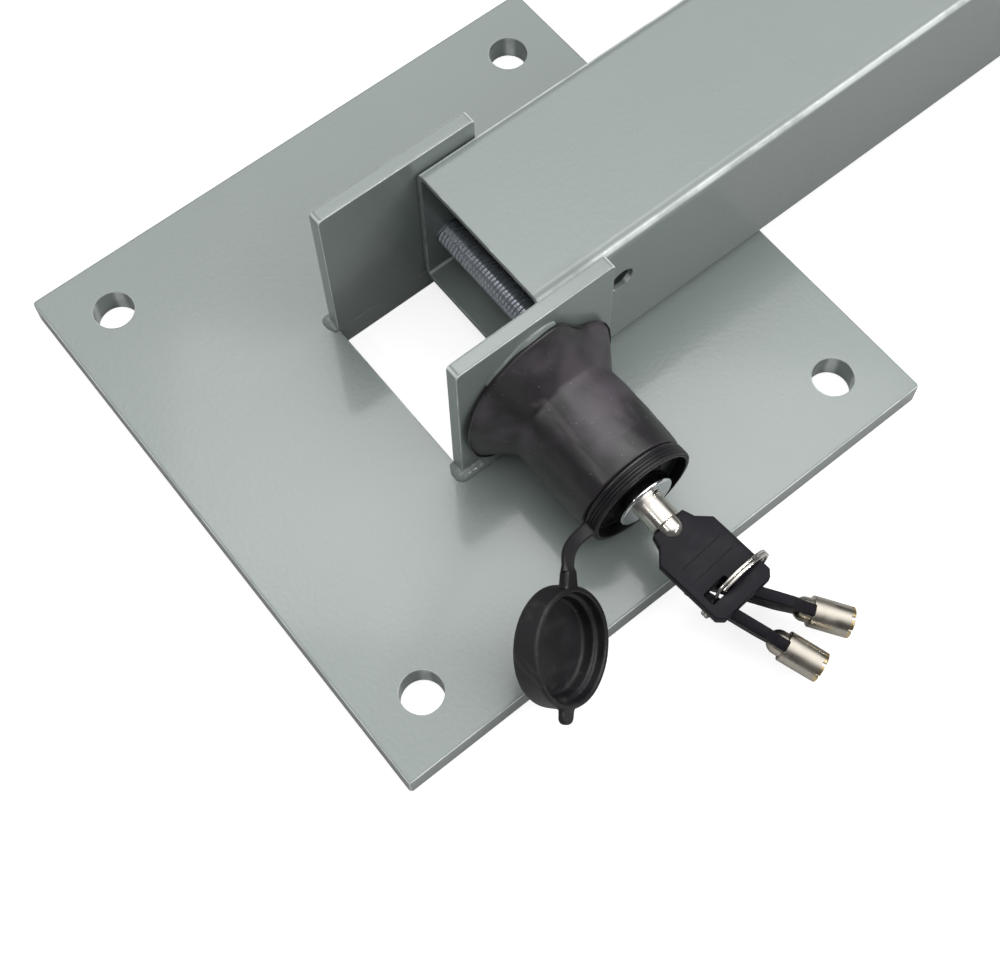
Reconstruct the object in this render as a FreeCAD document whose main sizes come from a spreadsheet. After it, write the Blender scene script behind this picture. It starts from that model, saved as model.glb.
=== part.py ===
import FreeCAD, Part
import math
import os
import Sketcher
from FreeCAD import Placement, Rotation, Vector

# Fold-down parking post on a square base plate, shown folded flat.
# Millimetres. Origin: centre of the anchor-hole pattern on the plate's underside.
# +X runs along the folded post, +Y from the lock side to the far side, +Z up.

SIZES = {
    # base plate
    "plate_side": 210,
    "plate_thickness": 10,
    "plate_corner_radius": 1.2,
    "plate_edge_radius": 0.8,
    "anchor_spacing": 170,
    "anchor_hole_diameter": 14,
    "window_length": 61,
    # hinge lugs, flat bar welded on edge beside the window
    "lug_gap": 62,
    "lug_length": 60,
    "lug_thickness": 5,
    "lug_height": 66,
    "lug_shift": -1,
    "lug_corner_radius": 2,
    "lug_edge_radius": 0.6,
    "lug_weld_leg": 4.5,
    "weld_hollow_share": 0.42,
    # post, square tube
    "post_side": 60,
    "post_wall": 2,
    "post_corner_radius": 4,
    "post_length": 520,
    "post_cut_end": 5.4,
    "post_seat_gap": 0.3,
    "post_far_gap": 0.3,
    "hanging_hole_diameter": 9.5,
    "hanging_hole_from_end": 33.3,
    "hanging_hole_height": 38,
    # plug in the free end
    "plug_flange": 3.5,
    "plug_edge_radius": 1.5,
    "plug_depth": 20,
    "plug_wall": 2.2,
    "plug_body_gap": 2.0,
    "plug_fin_gap": 0.1,
    "plug_fin_thickness": 1.4,
    "plug_fin_pitch": 5,
    "plug_fin_count": 3,
    # pivot bolt
    "pivot_x": 15,
    "pivot_height": 19.5,
    "bolt_diameter": 10,
    "bolt_head_flats": 16,
    "bolt_head_height": 6.4,
    "bolt_tip_chamfer": 1,
    "bolt_tip_gap": 0.2,
    "bolt_hole_play": 0.06,
    "washer_diameter": 20,
    "washer_thickness": 2,
    # lock housing and boot, turned about the lock axis
    "lock_x": 1,
    "lock_height": 22,
    "housing_diameter": 34,
    "housing_wall": 3,
    "housing_length": 44,
    "housing_weld_leg": 3,
    "boot_wall": 2.4,
    "boot_fit": 0.05,
    "boot_flange_radius": 28.6,
    "boot_flange_depth": 18,
    "boot_flange_sideways": -2,
    "boot_flange_upwards": 6.2,
    "boot_rim_thickness": 3,
    "boot_body_length": 39.5,
    "boot_neck_wall": 0.9,
    "boot_length": 48.7,
    "boot_mouth_radius": 16.4,
    "boot_shoulder_radius": 0.8,
    "rubber_clearance": 0.35,
    "rubber_edge_radius": 0.5,
    # dust cap with its collar and strap
    "collar_thickness": 1.9,
    "collar_start": 41.2,
    "collar_end": 48.2,
    "collar_groove_count": 3,
    "collar_groove_depth": 0.5,
    "collar_groove_width": 0.7,
    "cap_radius": 18.1,
    "cap_wall": 2,
    "cap_depth": 9.6,
    "cap_floor": 2,
    "cap_edge_radius": 2.5,
    "cap_ledge_width": 1.4,
    "cap_ledge_depth": 3.4,
    "cap_x": -45,
    "cap_y": -107.6,
    "cap_z": 29.3,
    "cap_azimuth": 32,
    "cap_elevation": 34,
    "cap_roll": 57,
    "cap_neck_width": 6,
    "cap_neck_length": 5,
    "cap_neck_height": 3.6,
    "cap_neck_radius": 1,
    "cap_tab_width": 5.8,
    "cap_tab_length": 4.3,
    "cap_tab_thickness": 2.4,
    "cap_tab_turn": -7.5,
    "strap_width": 4.4,
    "strap_thickness": 2.2,
    "strap_station": 44.7,
    "strap_bow": 10,
    # lock: spring-out cylinder with a plunger
    "cylinder_diameter": 20,
    "cylinder_face": 50.9,
    "cylinder_back": 17.5,
    "cylinder_rim_radius": 0.8,
    "cylinder_back_chamfer": 0.6,
    "running_play": 0.06,
    "sleeve_start": 18.5,
    "sleeve_end": 43.4,
    "keyway_depth": 20,
    "keyway_notch_width": 2.2,
    "keyway_notch_reach": 1.2,
    "keyway_notch_depth": 2.5,
    "keyway_notch_turn": -35,
    "core_pin_diameter": 6.6,
    "core_pin_recess": 0.5,
    "core_pin_chamfer": 0.4,
    "plunger_diameter": 8,
    "plunger_tip_chamfer": 0.8,
    "plunger_tip_setback": 4.8,
    "lock_travel": 5,
    "screw_diameter": 5,
    "screw_tip_diameter": 3,
    "screw_station": 30,
    "screw_shoulder_gap": 1.2,
    "screw_head_setback": 0.3,
    "screw_socket_diameter": 2.8,
    "screw_socket_depth": 2.5,
    "screw_slot_depth": 1.5,
    "screw_slot_play": 0.2,
    "spring_wire": 1.2,
    "spring_radius": 6.5,
    "spring_turns": 5,
    "spring_end_gap": 0.2,
    # keys
    "key_barrel_diameter": 10,
    "key_barrel_wall": 1.5,
    "key_barrel_length": 13,
    "key_barrel_chamfer": 0.3,
    "key_barrel_floor": 3,
    "key_fork_length": 5.6,
    "key_fork_end_radius": 2.4,
    "key_fork_play": 0.02,
    "key_tip_notch_count": 7,
    "key_tip_notch_width": 1.3,
    "key_tip_notch_depth": 1.4,
    "key_tip_notch_inset": 0.9,
    "key_insertion": 4.4,
    "bow_front_gap": 0.45,
    "bow_skew": 4.5,
    "bow_length": 33,
    "bow_width": 23,
    "bow_thickness": 3.6,
    "bow_front_width": 12.4,
    "bow_waist_width": 15,
    "bow_waist": 4,
    "bow_shoulder": 8,
    "bow_end_cut": 2,
    "bow_corner_radius": 0.8,
    "bow_band_start": 13.6,
    "bow_band_width": 5.2,
    "bow_band_length": 16.5,
    "bow_band_depth": 0.3,
    "bow_slot_start": 20,
    "bow_slot_width": 7.4,
    "bow_slot_length": 9,
    "bow_slot_margin": 2.6,
    # split ring
    "ring_radius": 13,
    "ring_thickness": 1.2,
    "ring_width": 2.2,
    "ring_seam_depth": 0.35,
    "ring_seam_width": 0.4,
    "ring_drop": 7.5,
    "ring_offset": 3.6,
    "ring_along": 2.4,
    "ring_tilt": 3,
    # spare keys hanging on the ring
    "spare_near_place": -76,
    "spare_near_slip": 0.8,
    "spare_near_yaw": 37.6,
    "spare_near_dip": 10.4,
    "spare_near_roll": 8,
    "spare_far_place": -112,
    "spare_far_slip": 1.2,
    "spare_far_yaw": 22.2,
    "spare_far_dip": 11.4,
    "spare_far_roll": 6,
}

doc = FreeCAD.newDocument("parking_post")
sheet = doc.addObject("Spreadsheet::Sheet", "Sizes")
for row, (name, number) in enumerate(SIZES.items(), start=1):
    sheet.set("A%d" % row, name)
    sheet.set("B%d" % row, str(number))
    sheet.setAlias("B%d" % row, name)
doc.recompute()


class Size:
    """A length that keeps both its value and the sheet formula it comes from."""

    def __init__(self, value, formula):
        self.value = float(value)
        self.formula = formula

    def _join(self, other, sign, value):
        text = other.formula if isinstance(other, Size) else repr(float(other))
        return Size(value, "(%s %s %s)" % (self.formula, sign, text))

    def __add__(self, other):
        return self._join(other, "+", self.value + number_of(other))

    def __sub__(self, other):
        return self._join(other, "-", self.value - number_of(other))

    def __mul__(self, other):
        return self._join(other, "*", self.value * number_of(other))

    def __truediv__(self, other):
        return self._join(other, "/", self.value / number_of(other))

    def __neg__(self):
        return Size(-self.value, "(-1 * %s)" % self.formula)


def number_of(item):
    """Plain number behind a Size or a number."""
    return item.value if isinstance(item, Size) else float(item)


def size(name):
    """Named size from the sheet, tied to its cell."""
    return Size(float(sheet.get(name)), "Sizes.%s" % name)


def bind(target, prop, item):
    """Tie a property to a Size, or set it to a plain number."""
    if isinstance(item, Size):
        target.setExpression(prop, item.formula)
    else:
        parts = prop.split(".")
        if len(parts) == 1:
            setattr(target, prop, float(item))
        else:
            target.setExpression(prop, repr(float(item)))


def place(target, x=0, y=0, z=0, rotation=None):
    """Give an object its place, tied to the sheet."""
    if rotation is not None:
        target.Placement = Placement(Vector(0, 0, 0), rotation)
    bind(target, "Placement.Base.x", x)
    bind(target, "Placement.Base.y", y)
    bind(target, "Placement.Base.z", z)
    return target


def new_body(label):
    """Empty PartDesign body with a label of its own."""
    body = doc.addObject("PartDesign::Body", label)
    body.Label = label
    return body


def sketch_on(body, role, name):
    """Sketch attached to one of the body's origin planes."""
    sketch = body.newObject("Sketcher::SketchObject", name)
    plane = [item for item in body.Origin.OriginFeatures if item.Role == role][0]
    sketch.AttachmentSupport = [(plane, "")]
    sketch.MapMode = "FlatFace"
    return sketch


def pin_point(sketch, geometry, vertex, x, y):
    """Fix one vertex of a sketch by two tied distances from its origin."""
    for kind, item in (("DistanceX", x), ("DistanceY", y)):
        rule = Sketcher.Constraint(kind, -1, 1, geometry, vertex, number_of(item))
        index = sketch.addConstraint(rule)
        if isinstance(item, Size):
            sketch.setExpression("Constraints[%d]" % index, item.formula)


def outline(sketch, points):
    """Closed outline of straight edges through tied points."""
    first = sketch.GeometryCount
    total = len(points)
    numbers = [Vector(number_of(x), number_of(y), 0) for x, y in points]
    for i in range(total):
        sketch.addGeometry(Part.LineSegment(numbers[i], numbers[(i + 1) % total]), False)
    for i in range(total):
        after = first + (i + 1) % total
        sketch.addConstraint(Sketcher.Constraint("Coincident", first + i, 2, after, 1))
    for i in range(total):
        pin_point(sketch, first + i, 1, *points[i])


def rectangle(sketch, low_x, low_y, high_x, high_y):
    """Rectangle between two tied corners."""
    outline(sketch, [(low_x, low_y), (high_x, low_y), (high_x, high_y), (low_x, high_y)])


def centred_rectangle(sketch, width, height):
    """Rectangle centred on the sketch's origin."""
    half_width = width / 2
    half_height = height / 2
    rectangle(sketch, -half_width, -half_height, half_width, half_height)


def circle(sketch, x, y, diameter):
    """Circle with tied centre and diameter."""
    centre = Vector(number_of(x), number_of(y), 0)
    index = sketch.addGeometry(Part.Circle(centre, Vector(0, 0, 1), number_of(diameter) / 2), False)
    pin_point(sketch, index, 3, x, y)
    rule = sketch.addConstraint(Sketcher.Constraint("Diameter", index, number_of(diameter)))
    if isinstance(diameter, Size):
        sketch.setExpression("Constraints[%d]" % rule, diameter.formula)


def pad(body, sketch, length, name, both_ways=False, reverse=False):
    """Pad a sketch by a tied length."""
    feature = body.newObject("PartDesign::Pad", name)
    feature.Profile = sketch
    bind(feature, "Length", length)
    feature.Midplane = both_ways
    feature.Reversed = reverse
    doc.recompute()
    return feature


def cut_through(body, sketch, name):
    """Pocket a sketch right through the body, both ways."""
    before = body.Shape.Volume
    feature = body.newObject("PartDesign::Pocket", name)
    feature.Profile = sketch
    feature.Type = 1
    feature.Midplane = True
    doc.recompute()
    if body.Shape.Volume >= before:
        raise RuntimeError("%s removes nothing" % name)
    return feature


def cut_to_depth(body, sketch, depth, name, reverse=False):
    """Pocket a sketch to a tied depth."""
    before = body.Shape.Volume
    feature = body.newObject("PartDesign::Pocket", name)
    feature.Profile = sketch
    bind(feature, "Length", depth)
    feature.Reversed = reverse
    doc.recompute()
    if body.Shape.Volume >= before:
        raise RuntimeError("%s removes nothing" % name)
    return feature


def edge_names(shape, keep):
    """Names of the straight edges that pass a test on their two ends."""
    names = []
    for index, edge in enumerate(shape.Edges, start=1):
        ends = [vertex.Point for vertex in edge.Vertexes]
        if len(ends) == 2 and edge.Curve.TypeId == "Part::GeomLine" and keep(ends[0], ends[1]):
            names.append("Edge%d" % index)
    return names


def round_edges(body, base, names, radius, name):
    """Fillet the named edges of a feature by a tied radius."""
    feature = body.newObject("PartDesign::Fillet", name)
    feature.Base = (base, names)
    bind(feature, "Radius", radius)
    doc.recompute()
    return feature


def cylinder(name, diameter, length, x=0, y=0, z=0, rotation=None):
    """Round bar with tied diameter and length."""
    item = doc.addObject("Part::Cylinder", name)
    bind(item, "Radius", diameter / 2)
    bind(item, "Height", length)
    return place(item, x, y, z, rotation)


def box(name, length, width, height, x=0, y=0, z=0):
    """Block with tied sides."""
    item = doc.addObject("Part::Box", name)
    bind(item, "Length", length)
    bind(item, "Width", width)
    bind(item, "Height", height)
    return place(item, x, y, z)


def subtract(name, base, tool):
    """Base shape less a tool shape."""
    item = doc.addObject("Part::Cut", name)
    item.Base = base
    item.Tool = tool
    item.Label = name
    return item


def join(name, shapes):
    """Union of several shapes."""
    item = doc.addObject("Part::MultiFuse", name)
    item.Shapes = shapes
    item.Label = name
    return item


def solid_feature(label, shape, placement=None):
    """Sub-part whose shape is worked out from the sheet by this file's own code."""
    item = doc.addObject("Part::Feature", label)
    item.Label = label
    item.Shape = shape
    if placement is not None:
        item.Placement = placement.multiply(shape.Placement)
    return item


def read(name):
    """Plain number of a named size."""
    return size(name).value


def eased(radius):
    """Distance from a corner's two sides to the middle of its rounding."""
    return radius * (1 - math.sqrt(0.5))


def half_section(points):
    """Face in the XZ plane from a list of lines and arcs; an arc is (middle, end)."""
    edges = []
    here = points[0]
    for item in points[1:] + [points[0]]:
        start = Vector(here[0], 0, here[1])
        if isinstance(item[0], tuple):
            middle = Vector(item[0][0], 0, item[0][1])
            end = Vector(item[1][0], 0, item[1][1])
            edges.append(Part.Arc(start, middle, end).toShape())
            here = item[1]
        else:
            end = Vector(item[0], 0, item[1])
            edges.append(Part.LineSegment(start, end).toShape())
            here = item
    return Part.Face(Part.Wire(edges))


def turned(points):
    """Solid of revolution about local Z from a half section of (radius, station)."""
    return half_section(points).revolve(Vector(0, 0, 0), Vector(0, 0, 1), 360)


# Shared places
plate_top = size("plate_thickness")
lug_inner = size("lug_gap") / 2
lug_outer = lug_inner + size("lug_thickness")
pivot_z = plate_top + size("pivot_height")
lock_z = plate_top + size("lock_height")
post_bottom = plate_top + size("post_seat_gap")
post_y = lug_inner - size("post_far_gap") - size("post_side") / 2
bolt_hole = size("bolt_diameter") + size("bolt_hole_play") * 2
plunger_hole = size("plunger_diameter") + size("running_play") * 2

# The lock's own frame: local Z points out of the near lug along the lock axis
OUTWARD = Rotation(Vector(1, 0, 0), 90)
LOCK_PLACE = Placement(Vector(read("lock_x"), -lug_outer.value, lock_z.value), OUTWARD)


def in_lock_frame(item):
    """Stand an object on the near lug's outer face, on the lock axis."""
    return place(item, size("lock_x"), -lug_outer, lock_z, OUTWARD)


def along_lock(station):
    """World Y of a station on the lock axis."""
    return -(lug_outer + station)


def make_base_plate():
    """Square plate with a central window and four anchor holes."""
    body = new_body("base_plate")
    profile = sketch_on(body, "XY_Plane", "plate_profile")
    centred_rectangle(profile, size("plate_side"), size("plate_side"))
    plate = pad(body, profile, size("plate_thickness"), "plate_pad")
    corners = edge_names(plate.Shape, lambda a, b: abs(a.z - b.z) > read("plate_thickness") / 2)
    rounded = round_edges(body, plate, corners, size("plate_corner_radius"), "plate_corners")
    half = read("plate_side") / 2
    rims = edge_names(rounded.Shape, lambda a, b: abs(a.z - b.z) < 0.01 and max(abs(a.x), abs(a.y)) > half - 0.01)
    round_edges(body, rounded, rims, size("plate_edge_radius"), "plate_edges")
    window = sketch_on(body, "XY_Plane", "window_profile")
    centred_rectangle(window, size("window_length"), size("lug_gap"))
    cut_through(body, window, "window")
    holes = sketch_on(body, "XY_Plane", "anchor_profile")
    reach = size("anchor_spacing") / 2
    for x in (reach, -reach):
        for y in (reach, -reach):
            circle(holes, x, y, size("anchor_hole_diameter"))
    cut_through(body, holes, "anchor_holes")


def make_lug(label, face, plunger):
    """Upright flat bar; face is the side that its pad starts from."""
    body = new_body(label)
    profile = sketch_on(body, "XZ_Plane", label + "_profile")
    half = size("lug_length") / 2
    rectangle(profile, -half, 0, half, size("lug_height"))
    bar = pad(body, profile, size("lug_thickness"), label + "_pad")
    top = read("lug_height") - 0.01
    corners = edge_names(bar.Shape, lambda a, b: min(a.z, b.z) > top and abs(a.y - b.y) > 1)
    rounded = round_edges(body, bar, corners, size("lug_corner_radius"), label + "_corners")
    rims = edge_names(rounded.Shape, lambda a, b: abs(a.y - b.y) < 0.01 and max(a.z, b.z) > 1)
    round_edges(body, rounded, rims, size("lug_edge_radius"), label + "_edges")
    holes = sketch_on(body, "XZ_Plane", label + "_holes")
    circle(holes, size("pivot_x") - size("lug_shift"), size("pivot_height"), bolt_hole)
    if plunger:
        circle(holes, size("lock_x") - size("lug_shift"), size("lock_height"), plunger_hole)
    cut_through(body, holes, label + "_bores")
    place(body, size("lug_shift"), face, plate_top)


def make_lug_weld(label, side):
    """Fillet bead round the outer foot of a lug; side is -1 near, +1 far."""
    leg = read("lug_weld_leg")
    half = read("lug_length") / 2
    thick = read("lug_thickness")
    hollow = leg * read("weld_hollow_share")
    foot = Vector(0, 0, 0)
    out = Vector(0, -leg, 0)
    up = Vector(0, 0, leg)
    face = Part.Arc(out, Vector(0, -hollow, hollow), up).toShape()
    section = Part.Face(Part.Wire([Part.LineSegment(foot, out).toShape(), face, Part.LineSegment(up, foot).toShape()]))
    section.translate(Vector(-half, 0, 0))
    bead = section.extrude(Vector(2 * half, 0, 0))
    left_turn = section.revolve(Vector(-half, 0, 0), Vector(0, 0, 1), -90)
    end_section = section.copy()
    end_section.rotate(Vector(-half, 0, 0), Vector(0, 0, 1), -90)
    left_run = end_section.extrude(Vector(0, thick, 0))
    left = left_turn.fuse(left_run)
    right = left.mirror(Vector(0, 0, 0), Vector(1, 0, 0))
    weld = bead.fuse([left, right]).removeSplitter()
    if side > 0:
        weld = weld.mirror(Vector(0, 0, 0), Vector(0, 1, 0))
    spot = Vector(read("lug_shift"), side * lug_outer.value, plate_top.value)
    solid_feature(label, weld, Placement(spot, Rotation()))


def make_post_tube():
    """Square tube with its pivot, lock and hanging holes."""
    body = new_body("post_tube")
    profile = sketch_on(body, "YZ_Plane", "post_profile")
    half = size("post_side") / 2
    rectangle(profile, -half, 0, half, size("post_side"))
    bar = pad(body, profile, size("post_length"), "post_pad")
    long_edges = edge_names(bar.Shape, lambda a, b: abs(a.x - b.x) > 1)
    rounded = round_edges(body, bar, long_edges, size("post_corner_radius"), "post_corners")
    ends = []
    for index, item in enumerate(rounded.Shape.Faces, start=1):
        if item.Surface.TypeId == "Part::GeomPlane" and abs(item.normalAt(0, 0).x) > 0.9:
            ends.append("Face%d" % index)
    shell = body.newObject("PartDesign::Thickness", "post_wall")
    shell.Base = (rounded, ends)
    bind(shell, "Value", size("post_wall"))
    shell.Reversed = True
    doc.recompute()
    pivot_hole = sketch_on(body, "XZ_Plane", "pivot_hole_profile")
    reach = size("pivot_x") - size("post_cut_end")
    rise = pivot_z - post_bottom
    circle(pivot_hole, reach, rise, bolt_hole)
    cut_through(body, pivot_hole, "pivot_holes")
    near_holes = sketch_on(body, "XZ_Plane", "near_wall_profile")
    # upright, the lock hole stands on the lock axis; folded it lies a quarter turn back
    lock_hole_x = reach + lock_z - pivot_z
    lock_hole_z = rise + size("pivot_x") - size("lock_x")
    circle(near_holes, lock_hole_x, lock_hole_z, plunger_hole + size("running_play") * 4)
    circle(near_holes, size("hanging_hole_from_end"), size("hanging_hole_height"), size("hanging_hole_diameter"))
    cut_to_depth(body, near_holes, half + 1, "near_wall_holes", reverse=True)
    place(body, size("post_cut_end"), post_y, post_bottom)


def make_end_plug():
    """Ribbed plastic plug in the post's free end."""
    side = size("post_side")
    inner = side - size("post_wall") * 2
    core = inner - size("plug_body_gap") * 2
    end_x = size("post_cut_end") + size("post_length")
    middle_z = post_bottom + side / 2
    start = end_x - size("plug_depth")
    flange = box("plug_flange_block", size("plug_flange"), side, side, end_x, post_y - side / 2, post_bottom)
    flange_round = doc.addObject("Part::Fillet", "plug_flange_round")
    flange_round.Base = flange
    doc.recompute()
    corner = read("post_corner_radius")
    rolls = []
    for index, edge in enumerate(flange.Shape.Edges, start=1):
        a, b = [vertex.Point for vertex in edge.Vertexes]
        if abs(a.x - b.x) > 1:
            rolls.append((index, corner, corner))
    flange_round.Edges = rolls
    doc.recompute()
    soft = doc.addObject("Part::Fillet", "plug_flange_soft")
    soft.Base = flange_round
    rim = number_of(end_x + size("plug_flange"))
    roll = read("plug_edge_radius")
    edges = []
    for index, edge in enumerate(flange_round.Shape.Edges, start=1):
        if min(vertex.Point.x for vertex in edge.Vertexes) > rim - 0.01:
            edges.append((index, roll, roll))
    soft.Edges = edges
    stem = box("plug_stem", size("plug_depth"), core, core, start, post_y - core / 2, middle_z - core / 2)
    pocket = core - size("plug_wall") * 2
    hollow = box("plug_hollow", size("plug_depth"), pocket, pocket, start, post_y - pocket / 2, middle_z - pocket / 2)
    shell = subtract("plug_shell", stem, hollow)
    pieces = [soft, shell]
    fin = inner - size("plug_fin_gap") * 2
    for index in range(int(read("plug_fin_count"))):
        fin_x = start + 1 + size("plug_fin_pitch") * index
        number = index + 1
        plate = box("plug_fin_%d" % number, size("plug_fin_thickness"), fin, fin, fin_x, post_y - fin / 2,
                    middle_z - fin / 2)
        corners = doc.addObject("Part::Fillet", "plug_fin_round_%d" % number)
        corners.Base = plate
        doc.recompute()
        inside = corner - read("post_wall")
        turns = []
        for edge_index, edge in enumerate(plate.Shape.Edges, start=1):
            a, b = [vertex.Point for vertex in edge.Vertexes]
            if abs(a.x - b.x) > 1:
                turns.append((edge_index, inside, inside))
        corners.Edges = turns
        bore = box("plug_fin_bore_%d" % number, size("plug_fin_thickness"), pocket, pocket, fin_x,
                   post_y - pocket / 2, middle_z - pocket / 2)
        pieces.append(subtract("plug_fin_ring_%d" % number, corners, bore))
    join("post_end_plug", pieces)


def make_pivot():
    """Threaded pivot bolt with its head and washer outside the far lug."""
    washer_face = lug_outer + size("washer_thickness")
    shank_length = washer_face + lug_outer - size("bolt_tip_gap")
    turn = Rotation(Vector(1, 0, 0), 90)
    shank = cylinder("bolt_shank", size("bolt_diameter"), shank_length, size("pivot_x"), washer_face, pivot_z, turn)
    tip = doc.addObject("Part::Chamfer", "bolt_shank_tip")
    tip.Base = shank
    doc.recompute()
    far = -(lug_outer - size("bolt_tip_gap")).value
    cut = read("bolt_tip_chamfer")
    rims = []
    for index, edge in enumerate(shank.Shape.Edges, start=1):
        if all(abs(vertex.Point.y - far) < 0.01 for vertex in edge.Vertexes):
            rims.append((index, cut, cut))
    tip.Edges = rims
    head = doc.addObject("Part::Prism", "bolt_head")
    head.Polygon = 6
    bind(head, "Circumradius", size("bolt_head_flats") / (2 * math.cos(math.radians(30))))
    bind(head, "Height", size("bolt_head_height"))
    place(head, size("pivot_x"), washer_face + size("bolt_head_height"), pivot_z, turn)
    join("pivot_bolt", [tip, head])
    disc = cylinder("washer_disc", size("washer_diameter"), size("washer_thickness"), size("pivot_x"), washer_face,
                    pivot_z, turn)
    bore = cylinder("washer_bore", bolt_hole, size("washer_thickness"), size("pivot_x"), washer_face, pivot_z, turn)
    subtract("pivot_washer", disc, bore)


def make_lock_housing():
    """Steel tube welded to the near lug, with a tapped hole for the retaining screw."""
    outer = in_lock_frame(cylinder("housing_bar", size("housing_diameter"), size("housing_length")))
    inside = size("housing_diameter") - size("housing_wall") * 2
    bore = in_lock_frame(cylinder("housing_bore", inside, size("housing_length")))
    tube = subtract("housing_tube", outer, bore)
    hole = cylinder("housing_screw_hole", size("screw_diameter") + size("running_play") * 2,
                    size("housing_diameter") / 2, size("lock_x"), along_lock(size("screw_station")), lock_z)
    subtract("lock_housing", tube, hole)
    radius = read("housing_diameter") / 2
    leg = read("housing_weld_leg")
    hollow = leg * read("weld_hollow_share")
    bead = turned([(radius, 0), (radius + leg, 0), ((radius + hollow, hollow), (radius, leg))])
    bead.Placement = LOCK_PLACE
    lug_bead = doc.getObjectsByLabel("near_lug_weld")[0].Shape
    solid_feature("housing_weld", bead.cut(lug_bead))


def flare(start_radius, start_station, end_radius, end_station):
    """Solid bell whose wall leaves the lock axis smoothly and ends off centre."""
    side = read("boot_flange_sideways")
    up = read("boot_flange_upwards")
    run = start_station - end_station
    rise = end_radius - start_radius
    bend = (rise * rise + run * run) / (2 * rise)
    steps = 6
    rings = []
    for index in range(steps + 1):
        back = run * index / steps
        growth = bend - math.sqrt(bend * bend - back * back)
        share = growth / rise
        centre = Vector(side * share, up * share, start_station - back)
        rings.append(Part.Wire([Part.Circle(centre, Vector(0, 0, 1), start_radius + growth).toShape()]))
    return Part.makeLoft(rings, True, False)


def make_rubber_boot():
    """Rubber boot pulled over the housing, with a flared skirt pushed up against the lug."""
    bore = read("housing_diameter") / 2 + read("boot_fit")
    body = bore + read("boot_wall")
    gap = read("rubber_clearance")
    flange = read("boot_flange_radius")
    depth = read("boot_flange_depth")
    rim = read("boot_rim_thickness")
    shoulder = read("boot_body_length")
    neck = bore + read("boot_neck_wall")
    length = read("boot_length")
    mouth = read("boot_mouth_radius")
    housing_end = read("housing_length")
    shoulder_roll = read("boot_shoulder_radius")
    roll = read("rubber_edge_radius")
    sleeve = turned([
        (bore, depth),
        (body, depth),
        (body, shoulder - shoulder_roll),
        ((body - eased(shoulder_roll), shoulder - eased(shoulder_roll)), (body - shoulder_roll, shoulder)),
        (neck, shoulder),
        (neck, length - roll),
        ((neck - eased(roll), length - eased(roll)), (neck - roll, length)),
        (mouth, length),
        (mouth, housing_end),
        (bore, housing_end),
    ])
    edge = flange - rim / 2
    bell = flare(body, depth, edge, gap + rim)
    lip = turned([(0, gap), (edge, gap), ((flange, gap + rim / 2), (edge, gap + rim)), (0, gap + rim)])
    lip.translate(Vector(read("boot_flange_sideways"), read("boot_flange_upwards"), 0))
    hollow = flare(bore, depth, flange - rim, gap)
    boot = solid_feature("boot_turned", bell.fuse([lip]).cut(hollow).fuse(sleeve).removeSplitter(), LOCK_PLACE)
    side = size("plate_side")
    floor = box("boot_plate_trim", side, side, plate_top + size("rubber_clearance"), -side / 2, -side / 2, 0)
    reach = read("lug_weld_leg") + read("rubber_clearance") * 2
    foot = Vector(-read("plate_side") / 2, -lug_outer.value, plate_top.value)
    corner = [foot, foot + Vector(0, -reach, 0), foot + Vector(0, 0, reach), foot]
    wedge = Part.Face(Part.makePolygon(corner)).extrude(Vector(read("plate_side"), 0, 0))
    bead = solid_feature("boot_weld_trim", wedge)
    ring_reach = read("housing_weld_leg") + gap
    root = read("housing_diameter") / 2
    cone = turned([(0, 0), (root + ring_reach, 0), (root, ring_reach), (0, ring_reach)])
    ring = solid_feature("boot_housing_weld_trim", cone, LOCK_PLACE)
    subtract("rubber_boot", boot, join("boot_trims", [floor, bead, ring]))


def cap_frame():
    """Facing and neck directions of the hanging dust cap, and its rim centre."""
    azimuth = math.radians(read("cap_azimuth"))
    elevation = math.radians(read("cap_elevation"))
    level = math.cos(elevation)
    facing = Vector(math.sin(azimuth) * level, -math.cos(azimuth) * level, math.sin(elevation))
    upward = (Vector(0, 0, 1) - facing * facing.z).normalize()
    roll = math.radians(read("cap_roll"))
    neck = upward * math.cos(roll) - facing.cross(upward) * math.sin(roll)
    centre = Vector(read("cap_x"), read("cap_y"), read("cap_z"))
    return centre, facing, neck


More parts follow.
